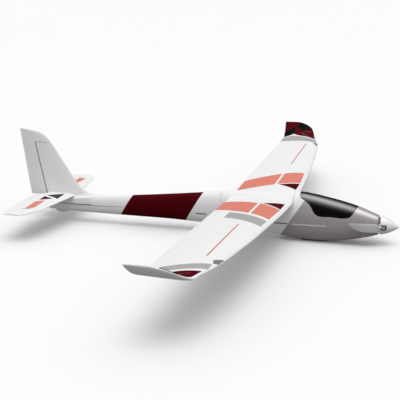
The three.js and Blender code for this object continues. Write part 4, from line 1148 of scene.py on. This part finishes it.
def build_tail():
    material = foam("foam_tail", tail_paint)
    halves = (
        (stabilizer(), "foam_stabilizer", "stabilizer", "airframe"),
        (elevator_half(), "foam_elevator", "elevator", "elevator"),
    )
    for half, name, node, body in halves:
        right = mirrored(half)
        show(half, f"{name}_left", body, material, "foam", f"{node}_left")
        show(right, f"{name}_right", body, material, "foam", f"{node}_right")
    show(rudder(), "foam_rudder", "rudder", foam("foam_rudder", rudder_paint), "foam", "rudder")


# ---------------------------------------------------------------- propeller

SPINNER = {"base": 3.0, "tip": 47.0, "radius": 21.6, "wall": 1.3}


def dome(radius, length):
    """A solid of the spinner's form, from its base to a blunt point."""
    turn = full_turn(72)
    rings = []
    for share in np.linspace(0, 1, 40):
        r = max(radius * (1 - share**1.6), 0.25)
        x = SPINNER["base"] + share * length
        rings.append([power_frame(x, r * math.cos(a), r * math.sin(a)) for a in turn])
    return skin(rings, "dome")


def spinner():
    """A thin shell with an open base and a slot on each side for the blades."""
    length = SPINNER["tip"] - SPINNER["base"]
    inner_radius = SPINNER["radius"] - SPINNER["wall"]
    mouth = bar(power_frame(1, 0, 0), power_frame(3.4, 0, 0), inner_radius, sides=72)
    shell = cut(dome(SPINNER["radius"], length), join(dome(inner_radius, length - 2.5), mouth))
    for y0, y1 in ((9, 30), (-30, -9)):
        corners = [power_frame(x, 0, z) for x, z in ((-2, -6.3), (18.5, -6.3), (18.5, 6.3), (-2, 6.3))]
        cut(shell, prism([(p[0], p[2]) for p in corners], 1, y0, y1))
    return shell


# Blade stations: distance from the pivot, upper edge, lower edge, thickness, pitch in degrees.
BLADE_STATIONS = np.array([
    (0, 2.8, -2.8, 4.6, 0),
    (6, 2.9, -2.9, 4.4, 2),
    (9, 3.4, -8.2, 3.8, 8),
    (13, 5, -11.2, 3.2, 13),
    (20, 7.8, -11.8, 2.7, 16),
    (30, 8, -11.8, 2.3, 17),
    (45, 8, -11.4, 1.9, 14),
    (60, 8.2, -9.2, 1.5, 11),
    (72, 8.2, -4.6, 1.3, 9),
    (80, 8, 0.6, 1.1, 8),
    (85, 7.4, 5, 0.9, 8),
], float)
BLADE_PIVOT = (12.0, -21.0, 0.0)
BLADE_REST = math.atan(0.42)


def blade(side):
    """One folded blade. The other one is the same blade turned half a turn about the motor shaft."""
    outward = np.array((-math.cos(BLADE_REST), -math.sin(BLADE_REST), 0))
    normal = np.array((math.sin(BLADE_REST), -math.cos(BLADE_REST), 0))
    shares = (1 - np.cos(np.linspace(0, math.pi, 17))) / 2
    rings = []
    for row in smooth_curve(BLADE_STATIONS[:, 0], BLADE_STATIONS, np.linspace(0, 85, 60)):
        along, upper, lower, thickness, pitch = row
        chord, tilt = upper - lower, math.radians(pitch)
        top, bottom = foil(shares, thickness / chord, 0.02, 0.4 / chord)
        outline = [*zip(shares[::-1], top[::-1]), *list(zip(shares, bottom))[1:]]
        ring = []
        for share, height in outline:
            across, off = upper - share * chord, height * chord
            z = across * math.cos(tilt) + off * math.sin(tilt)
            n = off * math.cos(tilt) - across * math.sin(tilt)
            point = np.array(BLADE_PIVOT) + outward * along + normal * n + (0, 0, z)
            ring.append(power_frame(point[0], point[1] * side, point[2] * side))
        rings.append(ring)
    x, y, _ = BLADE_PIVOT
    lug = bar(power_frame(x, y * side, -2.9), power_frame(x, y * side, 2.9), 3.6, sides=40)
    hole = bar(power_frame(x, y * side, -9), power_frame(x, y * side, 9), 1.4, sides=24)
    return cut(join(skin(rings, "blade"), lug), hole)


def build_propeller():
    pale = satin("spinner_grey", srgb(246, 246, 246), 0.3, 0.03, coat=0.4)
    show(spinner(), "spinner_shell", "propeller", pale, "grey_plastic", "spinner", sharp=30)
    grey = satin("moulded_grey", srgb(188, 187, 186), 0.32, 0.06)
    for side, name in ((1, "right"), (-1, "left")):
        node = f"blade_{name}"
        show(blade(side), f"blade_moulding_{name}", node, grey, "grey_plastic", node)


# ---------------------------------------------------------------- materials of the small parts

def satin(name, colour, roughness, variation=0.05, coat=0.0):
    """Moulded plastic with faint flow marks."""
    paint = Paint(name)
    marks = paint.noise(120, 4, stretch=(1, 1, 2))
    tint = paint.varied(colour, marks, variation)
    paint.bumps((paint.noise(2200, 2), 0.01), (marks, 0.03))
    return paint.finish(tint, marks * 0.16 + (roughness - 0.08), coat=coat)


def metal(name, colour, roughness, grain=(1, 1, 1)):
    """Bare metal with a directional machining grain and some tarnish."""
    paint = Paint(name)
    lines = paint.noise(900, 2, stretch=grain)
    stain = paint.noise(60, 4)
    tint = paint.varied(paint.varied(colour, stain, 0.12), lines, 0.1)
    paint.bumps((lines, 0.012))
    return paint.finish(tint, lines * 0.14 + stain * 0.1 + (roughness - 0.12), metallic=1.0)


def carbon():
    """Drawn carbon tube: dark, with fibres along it."""
    paint = Paint("carbon_tube")
    fibres = paint.noise(1400, 3, stretch=(1, 0.02, 1))
    tint = paint.varied(srgb(38, 38, 41), fibres, 0.35)
    paint.bumps((fibres, 0.02))
    return paint.finish(tint, fibres * 0.2 + 0.25, coat=0.4)


def plywood():
    paint = Paint("plywood")
    grain = paint.noise(260, 5, stretch=(0.12, 1, 1), roughness=0.65)
    plies = paint.waves(900, "Z")
    tint = paint.mix(grain, srgb(206, 170, 122), srgb(162, 118, 72))
    paint.bumps((grain, 0.06), (plies, 0.02))
    return paint.finish(paint.varied(tint, plies, 0.05), grain * 0.2 + 0.6)


def copper_windings():
    paint = Paint("copper_windings")
    turns = paint.waves(520, "X")
    tint = paint.varied(srgb(176, 92, 48), turns, 0.25)
    paint.bumps((turns, 0.25))
    return paint.finish(tint, turns * 0.2 + 0.28, metallic=0.85)


def shrink_film():
    """Battery film drawn over soft cells, with a plain pale band."""
    paint = Paint("shrink_film")
    creases = paint.noise(95, 5, stretch=(1, 2, 2))
    x, _, _ = paint.place()
    tint = paint.mix(past(between(x, 104.0, 122.0)), srgb(40, 44, 52), srgb(178, 70, 40))
    paint.bumps((creases, 0.35))
    return paint.finish(paint.varied(tint, creases, 0.12), creases * 0.2 + 0.22, coat=0.3)


def hook_tape():
    paint = Paint("hook_tape")
    weave = paint.waves(1500, "X").worked("MULTIPLY", paint.waves(1500, "Y"))
    tint = paint.varied(srgb(34, 36, 44), weave, 0.4)
    paint.bumps((weave, 0.25), (paint.noise(1600, 3), 0.1))
    return paint.finish(tint, weave * 0.1 + 0.82)


def wire_sleeve(name, colour):
    """Silicone insulation: soft sheen, slightly dusty."""
    paint = Paint(name)
    dust = paint.noise(220, 4)
    tint = paint.varied(colour, dust, 0.15)
    paint.bumps((dust, 0.05))
    return paint.finish(tint, dust * 0.2 + 0.4)


def wire(name, points, radius, material):
    """A round wire through points, fixed to the airframe."""
    points = np.array(points, float)
    lengths = distances_along(points)
    path = smooth_curve(lengths, points, np.linspace(0, lengths[-1], 60))
    along = np.gradient(path, axis=0)
    along /= np.linalg.norm(along, axis=1)[:, None]
    across = np.cross(along, (0, 0.3, 1))
    across /= np.linalg.norm(across, axis=1)[:, None]
    third = np.cross(along, across)
    turn = full_turn(16)[:, None]
    rings = [p + (np.cos(turn) * a + np.sin(turn) * b) * radius for p, a, b in zip(path, across, third)]
    show(skin(rings), name, "airframe", material, "black_plastic")


LEAD_PITCH = 2.6  # between the motor's three leads


def build_wires():
    """Leads from the battery to the speed controller, and from there past the battery to the motor."""
    red = wire_sleeve("sleeve_red", srgb(176, 26, 22))
    black = wire_sleeve("sleeve_black", srgb(24, 24, 26))
    for side, material, name in ((1, red, "battery_lead_red"), (-1, black, "battery_lead_black")):
        y = 4.0 * side
        wire(name, [(88.2, y, -9), (83, y, -7), (78, y * 1.3, -11), (73.8, y * 1.3, -17)], 1.5, material)
    beside_battery = np.array([(79, -17, -19), (92, -20.4, -19), (150, -20.4, -17), (190, -19.4, -12)])
    to_motor = np.array([(203, -13, -6), (221, -8, -4)])
    for row in range(3):
        shift = row * LEAD_PITCH
        start = (73.6, -9.4 + shift, -20)
        points = [start, *(beside_battery + (0, 0, shift)), *(to_motor + (0, 0, shift))]
        wire(f"motor_lead_{row + 1}", points, 1.2, black)


def small_part_materials():
    return {
        "white_plastic": satin("moulded_white", srgb(228, 228, 226), 0.42, 0.04),
        "black_plastic": satin("moulded_black", srgb(28, 28, 30), 0.5, 0.15),
        "servo_case": satin("servo_case_blue", srgb(34, 78, 158), 0.3, 0.1, coat=0.3),
        "steel": metal("drawn_steel", srgb(178, 180, 184), 0.32, (0.05, 1, 1)),
        "aluminium": metal("machined_aluminium", srgb(206, 207, 210), 0.36, (1, 1, 1)),
        "copper": copper_windings(),
        "carbon": carbon(),
        "plywood": plywood(),
        "battery_film": shrink_film(),
        "hook_tape": hook_tape(),
    }


EDGE_WIDTHS = {  # millimetres of rounding on the edges of small CAD parts
    "battery_pack": 1.6,
    "speed_controller": 1.2,
    "receiver": 1.0,
    **dict.fromkeys(("elevator_servo", "rudder_servo", "aileron_servo_left", "aileron_servo_right"), 0.5),
    "belly_skid": 0.3,
    "tail_skid": 0.6,
    "blade_yoke": 0.4,
    "battery_tray": 0.3,
}


def finish_small_parts():
    """Gives every CAD node that stays its material, and the nodes listed in EDGE_WIDTHS slightly broken
    edges.
    """
    materials = small_part_materials()
    slots = {part["node"]: part["material_slot"] for part in frame["record"]["subparts"]}
    for name, node in nodes.items():
        if node.hide_render:
            continue
        material = materials[slots[name]]
        node.data.materials.clear()
        node.data.materials.append(material)
        width = EDGE_WIDTHS.get(name)
        if width:
            bevel = node.modifiers.new("edges", "BEVEL")
            bevel.width = width * MM
            bevel.segments = 3
            bevel.limit_method = "ANGLE"
            bevel.angle_limit = math.radians(40)


# ---------------------------------------------------------------- stage

CAMERA_AIM = (-182.0, 0.0, 32.8)
CAMERA_AZIMUTH = math.radians(15.5)
CAMERA_ELEVATION = math.radians(14.2)
CAMERA_DISTANCE = 2259.0
CAMERA_LENS = 82.9
FLOOR_HALF = 60.0  # metres


def build_camera():
    camera = add_object("camera", bpy.data.cameras.new("camera"))
    camera.data.lens = CAMERA_LENS
    camera.data.clip_end = 200
    back = Vector((
        math.sin(CAMERA_AZIMUTH) * math.cos(CAMERA_ELEVATION),
        -math.cos(CAMERA_AZIMUTH) * math.cos(CAMERA_ELEVATION),
        math.sin(CAMERA_ELEVATION),
    ))
    camera.location = Vector(placed(CAMERA_AIM)) + back * CAMERA_DISTANCE * MM
    camera.rotation_mode = "QUATERNION"
    camera.rotation_quaternion = (-back).to_track_quat("-Z", "Y")
    bpy.context.scene.camera = camera


def build_floor():
    height = skid_low.z - FLOOR_DROP * MM
    corners = [(-1, -1), (1, -1), (1, 1), (-1, 1)]
    mesh = bpy.data.meshes.new("floor")
    mesh.from_pydata([(x * FLOOR_HALF, y * FLOOR_HALF, height) for x, y in corners], [], [(0, 1, 2, 3)])
    floor = add_object("floor", mesh)
    floor.visible_diffuse = False
    floor.visible_glossy = False
    paint = Paint("pale_floor")
    floor.data.materials.append(paint.finish(srgb(252, 252, 252), 0.9))


ZENITH, HORIZON, BELOW = 0.9, 0.43, 0.26  # brightness of the studio's walls and ceiling
SOFTBOX = 6.5  # brightness of the long overhead light, as glossy surfaces mirror it
SOFTBOX_SIDE = Vector((0.1, 0.12, 1.0)).normalized()
SOFTBOX_FOCUS = 9.0
DARK_ROOM = 0.03  # what glossy surfaces mirror away from the light
SUN = 1.1
FLOOR_DROP = 0.5  # the floor lies this far under the skid


def build_world():
    """A white studio, bright overhead and dim below, with a long soft light to mirror."""
    world = bpy.data.worlds.new("studio")
    world.use_nodes = True
    tree = world.node_tree
    coordinates = tree.nodes.new("ShaderNodeTexCoord")
    x, y, z = parts_of(tree, coordinates.outputs["Generated"])
    path = tree.nodes.new("ShaderNodeLightPath")
    glossy = Field(tree, path.outputs["Is Glossy Ray"])
    camera = Field(tree, path.outputs["Is Camera Ray"])
    above = z.most(0.0).worked("POWER", 1.5) * (ZENITH - HORIZON) + (HORIZON - BELOW)
    room = above * (z * 7.0).worked("ADD", 1.0, clamp=True) + BELOW
    towards = (x * SOFTBOX_SIDE.x + y * SOFTBOX_SIDE.y + z * SOFTBOX_SIDE.z).most(0.0)
    mirrored_light = towards.worked("POWER", SOFTBOX_FOCUS) * SOFTBOX + DARK_ROOM
    light = room + (mirrored_light - room) * glossy
    light = light + (-light + 1.0) * camera
    background = tree.nodes["Background"]
    feed(tree, background.inputs["Strength"], light)
    feed(tree, background.inputs["Color"], (1, 1, 1))
    bpy.context.scene.world = world


def build_lamp():
    lamp = bpy.data.lights.new("overhead", "SUN")
    lamp.energy = SUN
    lamp.angle = math.radians(45)
    holder = add_object("overhead", lamp)
    holder.rotation_euler = (math.radians(20), math.radians(8), 0)
    holder.visible_glossy = False


def build_lights():
    build_world()
    build_lamp()
    bpy.context.scene.view_settings.view_transform = "Standard"


build_fuselage()
show(canopy_shell(), "canopy_shell", "canopy", canopy_material(), "canopy", "canopy_hatch")
build_wing()
build_tail()
build_propeller()
finish_small_parts()
build_wires()
build_camera()
build_floor()
build_lights()
